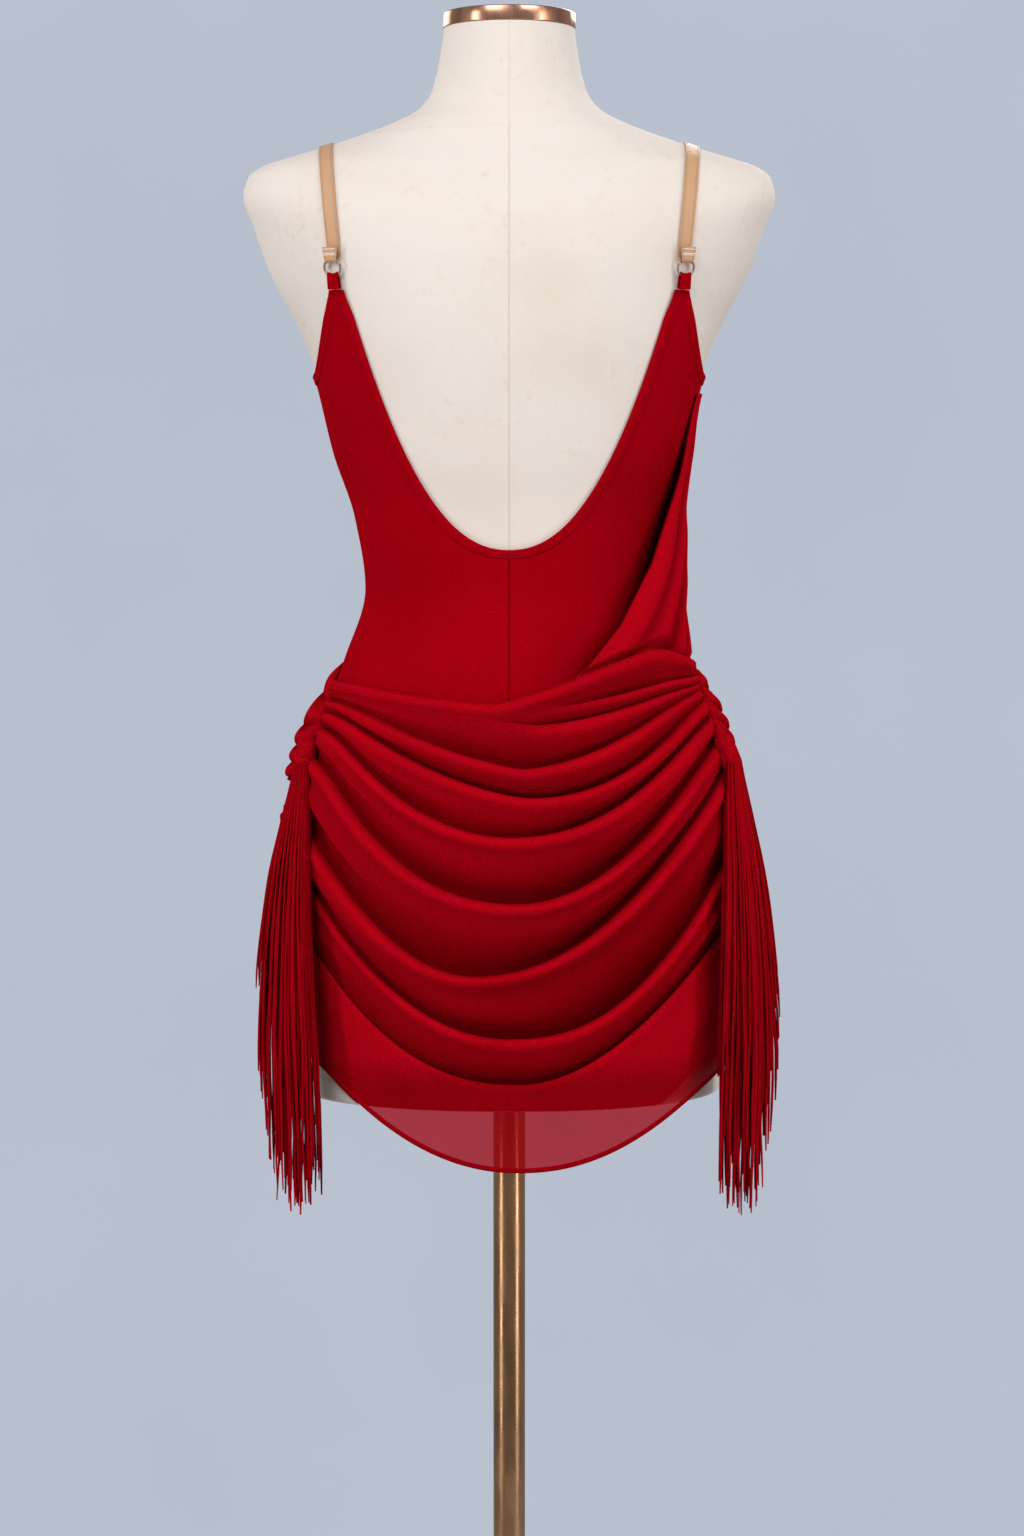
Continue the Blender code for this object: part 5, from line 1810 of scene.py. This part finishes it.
@dataclass
class HipDrape(FoldedCloth):
    """The back hip drape: folds that sag between the gathered seams at the two hips."""

    folds: tuple[Fold, ...] = (
        Fold(1.0645, 1.0800, 1.1155, -0.010, 1.35, 1.12, 0.0075, dip=0.0205),
        Fold(1.0590, 1.0755, 1.0880, -0.005, 1.40, 1.70, 0.0090, 0.10, dip=0.0040),
        Fold(1.0490, 1.0705, 1.0810, 0.020, 1.25, 1.60, 0.0105, -0.15, dip=0.0030),
        Fold(1.0165, 1.0640, 1.0750, 0.009, 1.25, 1.65, 0.0125, dip=0.0015),
        Fold(0.9949, 1.0550, 1.0660, 0.015, 1.45, 2.15, 0.0135),
        Fold(0.9658, 1.0430, 1.0530, 0.000, 1.85, 2.15, 0.0150),
        Fold(0.9163, 1.0220, 1.0370, 0.006, 2.20, 1.95, 0.0165),
        Fold(0.8617, 0.9850, 1.0190, -0.026, 1.96, 2.08, 0.0165),
        Fold(0.8137, 0.9580, 0.9900, 0.000, 2.04, 2.45, 0.0112, ends=0.65),
        Fold(0.7783, 0.9180, 0.9350, 0.008, 2.35, 1.90, 0.0058, ends=0.35),
        Fold(0.7130, 0.8200, 0.8180, 0.008, 2.05, 2.20, 0.0010),
    )
    ripples: tuple[Ripple, ...] = (
        Ripple(3, 0.55, -0.50, 0.25, 0.0020), Ripple(4, 0.55, 0.45, 0.30, 0.0024),
        Ripple(4, 0.60, -0.40, 0.26, 0.0026), Ripple(5, 0.50, -0.55, 0.34, 0.0036),
        Ripple(5, 0.66, -0.15, 0.22, 0.0026), Ripple(5, 0.46, 0.52, 0.24, 0.0042),
        Ripple(6, 0.52, -0.62, 0.36, 0.0065), Ripple(6, 0.62, 0.66, 0.26, 0.0045),
        Ripple(6, 0.50, 0.20, 0.25, 0.0030), Ripple(6, 0.30, -0.30, 0.30, 0.0036),
        Ripple(7, 0.70, 0.00, 0.15, 0.0050), Ripple(7, 0.52, 0.55, 0.26, 0.0036),
        Ripple(7, 0.48, -0.60, 0.28, 0.0030), Ripple(8, 0.50, 0.55, 0.28, 0.0030),
        Ripple(8, 0.50, -0.55, 0.25, 0.0024), Ripple(9, 0.28, -0.45, 0.35, 0.0024),
        Ripple(9, 0.42, 0.50, 0.30, 0.0020),
    )
    seams: dict = field(
        default_factory=lambda: {
            Hip.LEFT: ((0.139, 1.0705), (0.1542, 0.999), 0.006),
            Hip.RIGHT: ((0.1436, 1.0928), (0.1628, 1.0175), 0.0175),
        }
    )
    middle_off: float = 0.0070
    pucker: float = 0.0037
    pucker_height: float = 0.0011
    pucker_reach: float = 0.015
    flat_share: float = 0.80
    flat_reach: float = 0.0095
    pressed: float = 0.0018
    least_off: float = 0.0040

    def seam_angle(self, hip: Hip, z: float) -> float:
        """Angle at which a fold ends, as on the right side.

        Args:
            hip: The seam.
            z: Height of the end.

        Returns:
            The angle.
        """
        (top, z_top), (low, z_low), off = self.seams[hip]
        at_seam = max(z, z_low)
        across = mix(low, top, (at_seam - z_low) / (z_top - z_low))
        gathered = float(FIGURE.angle_at(across, at_seam, off))
        return mix(gathered, -self.side_line, float(smooth((z_low - z) / 0.045)))

    def base(self, share: np.ndarray) -> np.ndarray:
        """How far the troughs stand off the figure, from the left end to the right one.

        Args:
            share: Angle share, from 0 at the left end.

        Returns:
            The distance.
        """
        left, right = self.seams[Hip.LEFT][2], self.seams[Hip.RIGHT][2]
        near_left = mix(left, self.middle_off, smooth(share * 2))
        near_right = mix(self.middle_off, right, smooth(share * 2 - 1) ** 2)
        return np.where(share < 0.5, near_left, near_right)

    def crest_line(self, fold: Fold) -> np.ndarray:
        """Angles, heights and angle shares along one crest line.

        Args:
            fold: The fold.

        Returns:
            The angles, heights and shares.
        """
        start = -math.pi - self.seam_angle(Hip.LEFT, fold.left)
        low_right = fold.right - fold.dip
        end = self.seam_angle(Hip.RIGHT, low_right)
        share = (1 - np.cos(math.pi * np.linspace(0, 1, self.fine_steps))) / 2
        angle = mix(start, end, share)
        left = -float(FIGURE.at(start, fold.left, self.seams[Hip.LEFT][2])[0])
        right = float(FIGURE.at(end, low_right, self.seams[Hip.RIGHT][2])[0])
        across = FIGURE.at(angle, fold.lowest, self.line_off)[:, 0]
        across = mix(across, mix(-left, right, share), np.abs(2 * share - 1) ** 6)
        z = fold.height(across, left, right)
        return self.resample(angle, z, share)

    def make(self) -> list[Piece]:
        """Makes the drape and its rolled hem.

        Returns:
            The pieces.
        """
        crests = [self.crest_line(f) for f in self.folds]
        along = np.linspace(-1, 1, self.columns)
        middle = bell(along - 0.08, 0.50)
        outs = np.array([f.crest * mix(f.ends, 1.1, middle) for f in self.folds])
        weights = np.array([smooth((along - f.starts) / 0.35) for f in self.folds])
        # Painted shade in the pockets, strongest right of the middle, where the light from the upper
        # left reaches them least.
        shade = 0.60 + 0.36 * bell(along - 0.28, 0.50)
        points, depth = self.grid(crests, outs, weights, shade, self.base, self.ripples)
        angle, z, off = points[..., 0], points[..., 1], points[..., 2]
        length = run_length(FIGURE.at(angle, z, self.line_off), 1)
        for hip, away, end in ((Hip.LEFT, length, 0), (Hip.RIGHT, length[:, -1:] - length, -1)):
            z_low = self.seams[hip][1][1]
            held = smooth((z[:, end] - z_low + 0.022) / 0.02)[:, None]
            beat = np.sin(2 * math.pi * z[:, end] / self.pucker)[:, None]
            off = off + self.pucker_height * held * beat * bell(away, self.pucker_reach)
            flat = self.flat_share * held * bell(away, self.flat_reach)
            off = mix(off, self.seams[hip][2] + 0.0010, flat)
            off = off - self.pressed * held * bell(away, 0.0035)
            # Painted shade along each gathered seam and in the hollows between its puckers.
            depth = np.maximum(depth, 0.8 * held * bell(away, 0.0030))
            depth = depth + 0.35 * held * np.maximum(-beat, 0) * bell(away, 0.013)
        grid = FIGURE.at(angle, z, np.maximum(off, self.least_off))
        made = sheet("hip_drape_back", grid, self.thickness, Finishes.GEORGETTE, depth)
        stand_in(made, "back_drape")
        hem = rolled_hem("rolled_hem_back", grid, "back_hem")
        declare(made, (0.62, 0.62))
        return [made, hem]


@dataclass
class FrontDrape(FoldedCloth):
    """The front hip drape: the same folds, evenly spaced, between the side pieces."""

    count: int = 8
    top: float = 1.072
    top_sag: float = 0.034
    hem_ends: float = 0.818
    hem_sag: float = 0.062
    wrap: float = 0.36
    off: float = 0.0066
    crest: float = 0.0130

    def crest_line(self, k: int) -> np.ndarray:
        """Angles, heights and angle shares along one crest line.

        Args:
            k: Its number from the top.

        Returns:
            The angles, heights and shares.
        """
        here = k / (self.count - 1)
        ends = mix(self.top, self.hem_ends, here**1.25)
        sag = mix(self.top_sag, self.hem_sag, here) + 0.050 * math.sin(math.pi * here)
        share = (1 - np.cos(math.pi * np.linspace(0, 1, self.fine_steps))) / 2
        s = 2 * share - 1
        side = mix(self.wrap, self.side_line, float(smooth((1.003 - ends) / 0.07)))
        angle = math.pi / 2 - s * (math.pi / 2 - side)
        z = ends - sag * (1 - np.abs(s) ** 2.1)
        return self.resample(angle, z, share)

    def make(self) -> list[Piece]:
        """Makes the drape and its rolled hem.

        Returns:
            The pieces.
        """
        crests = [self.crest_line(k) for k in range(self.count)]
        shares = np.arange(self.count) / (self.count - 1)
        heights = self.crest * np.minimum(shares * 6 + 0.4, 1.0) * (1 - shares**4)
        even = np.ones((self.count, self.columns))
        ripples = tuple(
            Ripple(k, 0.5, side * 0.5, 0.3, 0.0022) for k in range(1, 6) for side in (-1, 1)
        )
        # Painted shade in the pockets, even across the drape.
        points, depth = self.grid(
            crests, heights[:, None] * even, even, 0.75 * even[0], lambda share: self.off, ripples
        )
        grid = FIGURE.at(points[..., 0], points[..., 1], points[..., 2])
        made = sheet("hip_drape_front", grid, self.thickness, Finishes.GEORGETTE, depth)
        stand_in(made, "front_drape")
        hem = rolled_hem("rolled_hem_front", grid, "front_hem")
        declare(made, (0.52, 0.56))
        return [made, hem]


def rolled_hem(name: str, grid: np.ndarray, node: str) -> Piece:
    """The narrow rolled hem along a cloth's last row.

    Args:
        name: Piece name.
        grid: Rows of points of the cloth.
        node: CAD node that it stands for.

    Returns:
        The piece.
    """
    facing = grid_normals(grid)[-1]
    down = unit(grid[-1] - grid[-2])
    path = grid[-1] + down * 0.0014 - facing * 0.00035
    made = tubes(name, [path], [np.full(len(path), 0.0020)], 10, Finishes.HEM, facing, 0.50)
    return stand_in(made, node)


# ---- side drape and hip puffs


@dataclass
class SideDrape:
    """The pleated length that hangs from the right underarm to the hip, clear of the waist."""

    edge: tuple = (
        (1.060, 0.0339), (1.080, 0.0500), (1.123, 0.0847), (1.170, 0.1087), (1.223, 0.1260),
        (1.275, 0.1416), (1.302, 0.1492),
    )
    stand: tuple = (
        (1.080, 0.0075), (1.095, 0.0095), (1.118, 0.0165), (1.150, 0.0230), (1.190, 0.0175),
        (1.243, 0.0035), (1.302, 0.0),
    )
    pleats: tuple = (
        (0.0, 0.75), (0.035, 1.0), (0.09, 0.75), (0.15, 0.15), (0.185, 0.75), (0.23, 0.95),
        (0.30, 0.35), (0.345, 0.10), (0.375, 0.80), (0.42, 0.85), (0.47, 0.0), (0.50, 0.75),
        (0.57, 0.85), (0.68, 0.15), (0.73, 0.65), (0.82, 0.20), (0.88, 0.55), (1.0, 0.30),
    )
    turned_under = (
        (0.012, 0.0034), (0.007, 0.0036), (0.002, 0.0034), (-0.0008, 0.0024), (-0.0014, 0.0012),
        (-0.0010, 0.0003),
    )
    top: float = 1.302
    foot: float = 1.080
    lift: float = 0.022
    pleat_depth: float = 0.0052
    thickness: float = 0.0008
    waist: float = 1.165
    waist_spread: float = 0.055
    edge_off: float = 0.0070
    free_off: float = 0.0030
    waist_off: float = 0.0080
    outer_turns: tuple[float, float] = (0.10, 0.80)
    tucked: float = 0.0016
    front_limit: tuple[float, float] = (1.099, 0.0165)
    limit_slope: float = 1.1

    def shadow(self, points: np.ndarray) -> np.ndarray:
        """Painted shadow that the drape's free inner edge casts on the panel behind.

        Args:
            points: Points of the panel.

        Returns:
            The shadow's strength, from 0 to 1.
        """
        levels, across = np.array(self.edge).T
        z = points[..., 2]
        away = np.clip(np.interp(z, levels, across) - points[..., 0], 0, None)
        near = smooth((z - 1.055) / 0.04) * smooth((self.top - z) / 0.07)
        return near * (0.50 * np.exp(-away / 0.020) + 0.30 * np.exp(-away / 0.006))

    def pleat(self, w: np.ndarray) -> np.ndarray:
        """Height of the lengthwise pleats at a share of the way across."""
        even = np.linspace(0, 1, 401)
        heights = np.interp(even, *np.array(self.pleats).T)
        return np.interp(w, even, softened(heights, 7))

    def make(self, hip_drape: HipDrape) -> list[Piece]:
        """Makes the drape, its foot tucked behind the hip drape's top edge.

        Args:
            hip_drape: The back hip drape.

        Returns:
            The drape, in a list.
        """
        heights, across = np.array(self.edge).T
        levels, offs = np.array(self.stand).T
        t = np.concatenate([np.linspace(0, 1, 120), np.linspace(1, 1.085, 10)[1:]])[:, None]
        w = np.concatenate([np.zeros(len(self.turned_under)), np.linspace(0, 1, 150)])[None, :]
        z_edge = mix(self.top, self.foot, t)
        at_waist = bell(z_edge - self.waist, self.waist_spread)
        edge_off = self.edge_off + self.waist_off * at_waist
        inner = FIGURE.angle_at(np.interp(z_edge, heights, across), z_edge, edge_off)
        outer = mix(*self.outer_turns, np.minimum(t, 1.0) ** 0.75)
        angle = mix(inner, outer, w)
        side = np.clip(np.where(angle < 0, angle / np.minimum(inner, -1e-3), angle / outer), 0, 1)
        z = z_edge + self.lift * smooth(1 - side) * np.minimum(t, 1.0)
        room = smooth(t * 3.2)
        free = self.free_off + self.waist_off * bell(z - self.waist, self.waist_spread)
        even = np.linspace(levels[0], levels[-1], 201)
        stand = softened(np.interp(even, levels, offs), 9)
        off = np.interp(z, even, stand) * (1 - side**2) ** 0.75
        off = off + np.where(angle < 0, free * side**1.5, 0)
        pleat = self.pleat(w + 0.012 * np.sin(4 * t + 1))
        off = 0.0052 + room * (off + self.pleat_depth * (pleat - 0.3))
        turned = np.zeros((2, w.shape[1]))
        turned[:, : len(self.turned_under)] = np.array(self.turned_under).T
        shift, under = turned
        angle = angle + shift / 0.12
        place = FIGURE.at(angle, z, off)
        share = (angle + math.pi) / math.pi
        halves = (hip_drape.seams[hip][0][0] for hip in Hip)
        hip_top = hip_drape.folds[0].height(place[..., 0], *halves)
        above = np.maximum(z - hip_top - 0.001, 0.0)
        behind = hip_drape.base(share) - self.tucked + above * self.limit_slope
        level, off_there = self.front_limit
        before = off_there + np.maximum(z - level, 0.0) * self.limit_slope
        off = np.minimum(off, np.where(angle < 0, behind, before))
        off = np.maximum(off - under, np.where(under > 0.002, 0.0038, 0.0048))
        # Painted shade in the pleat hollows, and under the turned-in inner edge.
        depth = np.clip(1 - pleat, 0, 1) ** 1.5 * room * 0.85
        depth = np.where(under > 0.001, 0.9, depth)
        grid = FIGURE.at(angle, z, off)
        made = sheet("side_drape_right", grid, self.thickness, Finishes.GEORGETTE, depth)
        stand_in(made, "side_drape")
        declare(made, (0.24, 0.30))
        return [made]


@dataclass
class Puff:
    """The puffed gathered piece from the back drape's seam round the hip to the front drape."""

    hip: Hip
    top: float
    bottom: float
    bulge: tuple[float, float]
    rolls: float = 5.6
    start: float = 0.15
    front_angle: float = 0.335
    roll_depth: float = 0.0056
    thickness: float = 0.0008
    front_off: float = 0.0068
    sag: float = 0.017
    least_off: float = 0.0042
    puckers: int = 17

    def make(self, drape: HipDrape) -> list[Piece]:
        """Makes the piece.

        Args:
            drape: The back hip drape, whose seam it starts from.

        Returns:
            The piece, in a list.
        """
        (top_across, top_z), (low_across, low_z), seam_off = drape.seams[self.hip]
        v = np.linspace(0, 1, 180)[:, None]
        u = np.linspace(0, 1, 90)[None, :]
        seam_z = mix(top_z, low_z + 0.002, v)
        start = FIGURE.angle_at(mix(top_across, low_across, v), seam_z, seam_off) + 0.012
        angle = mix(start, self.front_angle, u)
        z = mix(seam_z, mix(self.top, self.bottom, v), np.sin(math.pi * u / 2))
        sag = self.sag * smooth(v / 0.35) * np.sin(math.pi * u)
        z = z - sag * (1 - 0.4 * smooth((v - 0.8) / 0.2))
        bulge = mix(self.bulge[0], self.bulge[1], smooth(v * 2.6)) - seam_off
        ends = mix(seam_off, self.front_off, smooth(u))
        swell = np.sin(math.pi * np.minimum(u * 1.15, 1.0)) ** 0.7
        wander = 0.016 * np.sin(5.3 * v + 2.2 * u + self.start * 9) + 0.006 * np.sin(11 * v - 3 * u)
        phase = self.rolls * (v + wander) + self.start
        rib = np.abs(np.sin(math.pi * phase)) ** 0.62
        small = np.abs(np.sin(math.pi * (phase * 2.1 + 1.4 * u))) ** 0.7
        away = swell * (bulge + self.roll_depth * (rib - 0.8))
        away = away + 0.0010 * (small - 0.5) * swell * bell(u - 0.18, 0.16)
        closed = np.sqrt(smooth(v / 0.09) * smooth((1 - v) / 0.16))
        off = np.maximum(ends + away, 0.0052)
        off = mix(np.minimum(off, mix(0.0058, 0.0044, smooth(u * 6))), off, closed)
        gathers = 0.0006 * bell(u, 0.08) * np.sin(2 * math.pi * v * self.puckers)
        off = np.maximum(off + gathers - 0.0020 * bell(u, 0.03), self.least_off)
        # Painted shade between the rolls, in the small creases and along the seam.
        depth = (1 - rib) ** 0.8 * 0.95 * swell + 0.35 * (1 - small) * bell(u - 0.18, 0.16)
        depth = depth + 0.8 * bell(u, 0.025)
        if self.hip is Hip.LEFT:
            angle = math.pi - angle
        z = np.broadcast_to(z, off.shape)
        grid = FIGURE.at(angle, z, off)
        made = sheet("hip_puff_" + self.hip.word, grid, self.thickness, Finishes.GEORGETTE, depth)
        stand_in(made, "ruche_" + self.hip.word)
        declare(made, (0.13, 0.20))
        return [made]


# ---- tassels


@dataclass
class Tassel:
    """A knitted knot and barrel head, and the long cords that hang from it."""

    hip: Hip
    top: tuple[float, float, float]
    bottom: tuple[float, float, float]
    fringe: tuple[tuple[float, float, float, float, float], ...]
    cords: int = 128
    cord_radius: float = 0.00090
    turn: float = math.radians(-40)
    seed: int = 7
    drop: float = 0.115
    samples: int = 90
    kept: int = 15
    last_row: tuple[float, float, float] = (0.640, 0.0335, 0.0110)

    tips = (
        (-1.0, 0.868), (-0.93, 0.815), (-0.80, 0.762), (-0.60, 0.735), (-0.40, 0.700),
        (-0.15, 0.672), (0.35, 0.668), (0.7, 0.676), (1.0, 0.690),
    )
    knot = (
        (-0.30, 0.0014), (0.0, 0.0022), (0.2, 0.0034), (0.5, 0.0043), (0.8, 0.0050),
        (0.95, 0.0048), (1.0, 0.0040),
    )
    head = (
        (-0.04, 0.0046), (0.0, 0.0062), (0.05, 0.0071), (0.14, 0.0078), (0.35, 0.0081),
        (0.6, 0.0082), (0.85, 0.0081), (0.95, 0.0078), (1.0, 0.0068),
    )

    def turned(
        self, name: str, profile: tuple, start: np.ndarray, end: np.ndarray, node: str
    ) -> Piece:
        """A round knitted piece extruded ring by ring along its axis.

        Args:
            name: Piece name.
            profile: Share of the way and radius of each ring.
            start: Start of the axis.
            end: End of the axis.
            node: CAD node that it stands for.

        Returns:
            The piece.
        """
        length = float(np.linalg.norm(end - start))
        deselect()
        bpy.ops.mesh.primitive_circle_add(vertices=40, radius=profile[0][1], fill_type="NGON")
        obj = bpy.context.object
        bpy.ops.object.mode_set(mode="EDIT")
        bpy.ops.mesh.select_all(action="SELECT")
        reached, radius = profile[0]
        for share, wide in profile[1:]:
            bpy.ops.mesh.extrude_region_move(
                TRANSFORM_OT_translate={"value": (0, 0, (share - reached) * length)}
            )
            grow = wide / radius
            centre = (0, 0, share * length)
            bpy.ops.transform.resize(value=(grow, grow, 1), center_override=centre)
            reached, radius = share, wide
        bpy.ops.mesh.select_all(action="SELECT")
        bpy.ops.mesh.normals_make_consistent(inside=False)
        bpy.ops.object.mode_set(mode="OBJECT")
        axis = Vector(end - start).normalized()
        matrix = Matrix.Translation(Vector(start)) @ axis.to_track_quat("Z", "Y").to_matrix().to_4x4()
        made = place_and_dress(obj, name, Finishes.KNIT, matrix)
        return stand_in(made, node)

    def heads(self) -> list[Piece]:
        """The knot and the barrel under it.

        Returns:
            The pieces.
        """
        side = np.array([self.hip.value, 1, 1])
        start, end = np.array(self.top) * side, np.array(self.bottom) * side
        middle = mix(start, end, 0.30)
        word = self.hip.word
        return [
            self.turned("knot_" + word, self.knot, start, middle, "tassel_knot_" + word),
            self.turned("barrel_" + word, self.head, middle, end, "tassel_head_" + word),
        ]

    def hanging(self) -> Piece:
        """The cords, each with its own place in the bundle and its own length.

        Returns:
            The piece.
        """
        rng = np.random.default_rng(self.seed + self.hip.value)
        sign = self.hip.value
        x1, y1, z1 = self.bottom
        rows = [(z1 + 0.004, x1, y1, 0.0058, 0.0052), *self.fringe]
        rows.append((self.last_row[0], *self.fringe[-1][1:3], *self.last_row[1:]))
        levels = np.array(rows)[::-1]
        turn = self.turn * sign
        paths, radii, shades = [], [], []
        for i in range(self.cords):
            e = -1 + 2 * (i + 0.5 + rng.uniform(-0.6, 0.6)) / self.cords
            h = rng.uniform(-1, 1) * math.sqrt(max(1 - e * e, 0.05))
            tip = float(np.interp(e, *np.array(self.tips).T))
            tip += self.drop * rng.uniform() ** 2.2 + rng.uniform(0, 0.008)
            z = np.linspace(levels[-1][0], tip, self.samples)
            values = [np.interp(z, levels[:, 0], levels[:, c]) for c in (1, 2, 3, 4)]
            x, y, half, thick = (softened(a, 8) for a in values)
            sway = rng.uniform(0, 2 * math.pi, 4)
            fall = (levels[-1][0] - z) / 0.35
            along = -sign * e * half + 0.0016 * fall * np.sin(z * 22 + sway[0])
            along = along + 0.0003 * np.sin(z * 90 + sway[1]) * np.minimum(fall * 4, 1)
            through = h * thick + 0.0012 * fall * np.sin(z * 26 + sway[2])
            run = along * math.cos(turn) + through * math.sin(turn)
            back = through * math.cos(turn) - along * math.sin(turn)
            path = np.stack([sign * x + run, y + back, z], -1)
            pick = np.round(np.linspace(0, self.samples - 1, self.kept)).astype(int)
            paths.append(path[pick])
            radii.append(np.full(self.kept, self.cord_radius * rng.uniform(0.75, 1.22)))
            # Each cord's shade: painted shade for cords on the inner side of the bundle, towards the
            # body, and a random tone of its own.
            shades.append(float(np.clip(0.24 + 0.50 * h + rng.uniform(-0.30, 0.35), 0, 0.9)))
        made = tubes("tassel_cords_" + self.hip.word, paths, radii, 6, Finishes.CORD, shade=shades)
        return stand_in(made, "fringe_" + self.hip.word)

    def make(self) -> list[Piece]:
        """Makes the whole tassel."""
        return [*self.heads(), self.hanging()]


# ---- studio


@dataclass
class Studio:
    """Plain pale floor and backdrop, soft lights and the camera."""

    backdrop: Colour = (0.482, 0.528, 0.615)
    ambient: Colour = (0.300, 0.305, 0.315)
    focal: float = 78.33
    place: Triple = (0.0022, -2.64, 1.198)
    pitch: float = math.radians(4.12)
    sensor: float = 36.0
    floor_radius: float = 1.05

    lamps = (
        ("key", (-1.05, -2.2, 2.8), 1.02, 41.0, 1.4, 1.1),
        ("fill", (1.45, -1.9, 2.9), 1.02, 27.0, 1.4, 1.2),
        ("strip_left", (-1.7, -1.0, 1.0), 0.95, 14.0, 0.4, 2.0),
        ("strip_right", (1.7, -1.0, 1.0), 0.95, 14.0, 0.4, 2.0),
        ("front_key", (1.1, 2.4, 2.6), 1.10, 46.0, 1.5, 1.3),
        ("front_fill", (-1.6, 2.0, 1.8), 1.10, 18.0, 1.4, 1.4),
    )

    def camera(self) -> None:
        """The camera behind the dress, a little above its middle."""
        camera = bpy.data.cameras.new("camera")
        camera.lens = self.focal
        camera.sensor_width = self.sensor
        obj = bpy.data.objects.new("camera", camera)
        obj.location = self.place
        obj.rotation_euler = (math.pi / 2 - self.pitch, 0, 0)
        bpy.context.scene.collection.objects.link(obj)
        bpy.context.scene.camera = obj

    def lamp(
        self, name: str, place: Triple, aim: float, power: float, wide: float, tall: float
    ) -> None:
        """A rectangular soft light aimed at the stand's axis.

        Args:
            name: Its name.
            place: Where it stands.
            aim: Height that it is aimed at.
            power: Its power in watts.
            wide: Its width.
            tall: Its height.
        """
        light = bpy.data.lights.new(name, "AREA")
        light.shape = "RECTANGLE"
        light.size, light.size_y = wide, tall
        light.energy = power
        obj = bpy.data.objects.new(name, light)
        obj.location = place
        obj.rotation_euler = (Vector((0, 0, aim)) - Vector(place)).to_track_quat("-Z", "Y").to_euler()
        bpy.context.scene.collection.objects.link(obj)

    def world(self) -> None:
        """A softly mottled backdrop and an even ambient light."""
        world = bpy.data.worlds.new("studio")
        world.use_nodes = True
        tree = world.node_tree
        tree.nodes.clear()
        new, link = tree.nodes.new, tree.links.new
        coords, noise, ramp = (
            new("ShaderNodeTexCoord"), new("ShaderNodeTexNoise"), new("ShaderNodeMapRange"),
        )
        noise.inputs["Scale"].default_value = 9.0
        noise.inputs["Detail"].default_value = 5.0
        ramp.inputs["To Min"].default_value = 0.93
        ramp.inputs["To Max"].default_value = 1.06
        link(coords.outputs["Generated"], noise.inputs["Vector"])
        link(noise.outputs["Fac"], ramp.inputs["Value"])
        seen, lit = new("ShaderNodeBackground"), new("ShaderNodeBackground")
        seen.inputs["Color"].default_value = (*self.backdrop, 1)
        lit.inputs["Color"].default_value = (*self.ambient, 1)
        link(ramp.outputs["Result"], seen.inputs["Strength"])
        path, pick, out = (
            new("ShaderNodeLightPath"), new("ShaderNodeMixShader"), new("ShaderNodeOutputWorld"),
        )
        link(path.outputs["Is Camera Ray"], pick.inputs[0])
        link(lit.outputs[0], pick.inputs[1])
        link(seen.outputs[0], pick.inputs[2])
        link(pick.outputs[0], out.inputs["Surface"])
        bpy.context.scene.world = world
        bpy.context.scene.view_settings.view_transform = "Standard"

    def floor(self) -> None:
        """A round pale floor under the stand."""
        deselect()
        bpy.ops.mesh.primitive_cylinder_add(
            vertices=128, radius=self.floor_radius, depth=0.02, location=(0, 0, -0.01)
        )
        obj = bpy.context.object
        obj.name = obj.data.name = "floor"
        bpy.ops.object.transform_apply(location=True, rotation=True, scale=True)
        obj.data.materials.append(Finishes.FLOOR.material())
        deselect()

    def make(self) -> None:
        """Sets the studio up."""
        self.camera()
        self.world()
        for lamp in self.lamps:
            self.lamp(*lamp)
        self.floor()


# ---- the whole


def main() -> None:
    """Builds the studio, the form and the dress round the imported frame."""
    logging.basicConfig(level=logging.INFO, format="%(name)s: %(message)s")
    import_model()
    Studio().make()
    form = Form()
    drape = HipDrape()
    made = [form.torso(), *form.stand()]
    made += Bodice().make()
    made += Hangings().make()
    made += SideDrape().make(drape)
    made += drape.make()
    made += FrontDrape().make()
    puffs = (
        Puff(Hip.LEFT, 1.096, 1.006, (0.009, 0.0190)),
        Puff(Hip.RIGHT, 1.0985, 1.010, (0.0215, 0.0305), 6.4, 0.55),
    )
    tassels = (
        Tassel(
            Hip.LEFT, (0.1535, -0.047, 1.0415), (0.1600, -0.061, 1.0125),
            (
                (1.007, 0.1605, -0.0620, 0.0080, 0.0060),
                (0.985, 0.1630, -0.0740, 0.0120, 0.0070),
                (0.940, 0.1680, -0.0900, 0.0200, 0.0080),
                (0.880, 0.1710, -0.0965, 0.0270, 0.0090),
                (0.800, 0.1720, -0.0960, 0.0330, 0.0100),
                (0.740, 0.1700, -0.0940, 0.0330, 0.0100),
            ),
        ),
        Tassel(
            Hip.RIGHT, (0.1605, -0.056, 1.0455), (0.1725, -0.071, 1.0145),
            (
                (1.009, 0.1735, -0.0720, 0.0080, 0.0060),
                (0.985, 0.1755, -0.0790, 0.0120, 0.0070),
                (0.940, 0.1800, -0.0910, 0.0200, 0.0080),
                (0.880, 0.1835, -0.0945, 0.0270, 0.0090),
                (0.800, 0.1860, -0.0920, 0.0330, 0.0100),
                (0.740, 0.1850, -0.0890, 0.0330, 0.0100),
            ),
        ),
    )
    for puff in puffs:
        made += puff.make(drape)
    for tassel in tassels:
        made += tassel.make()
    for piece in made:
        LOG.info("%s: %d faces", piece.name, len(piece.data.polygons))


if __name__ == "__main__":
    main()
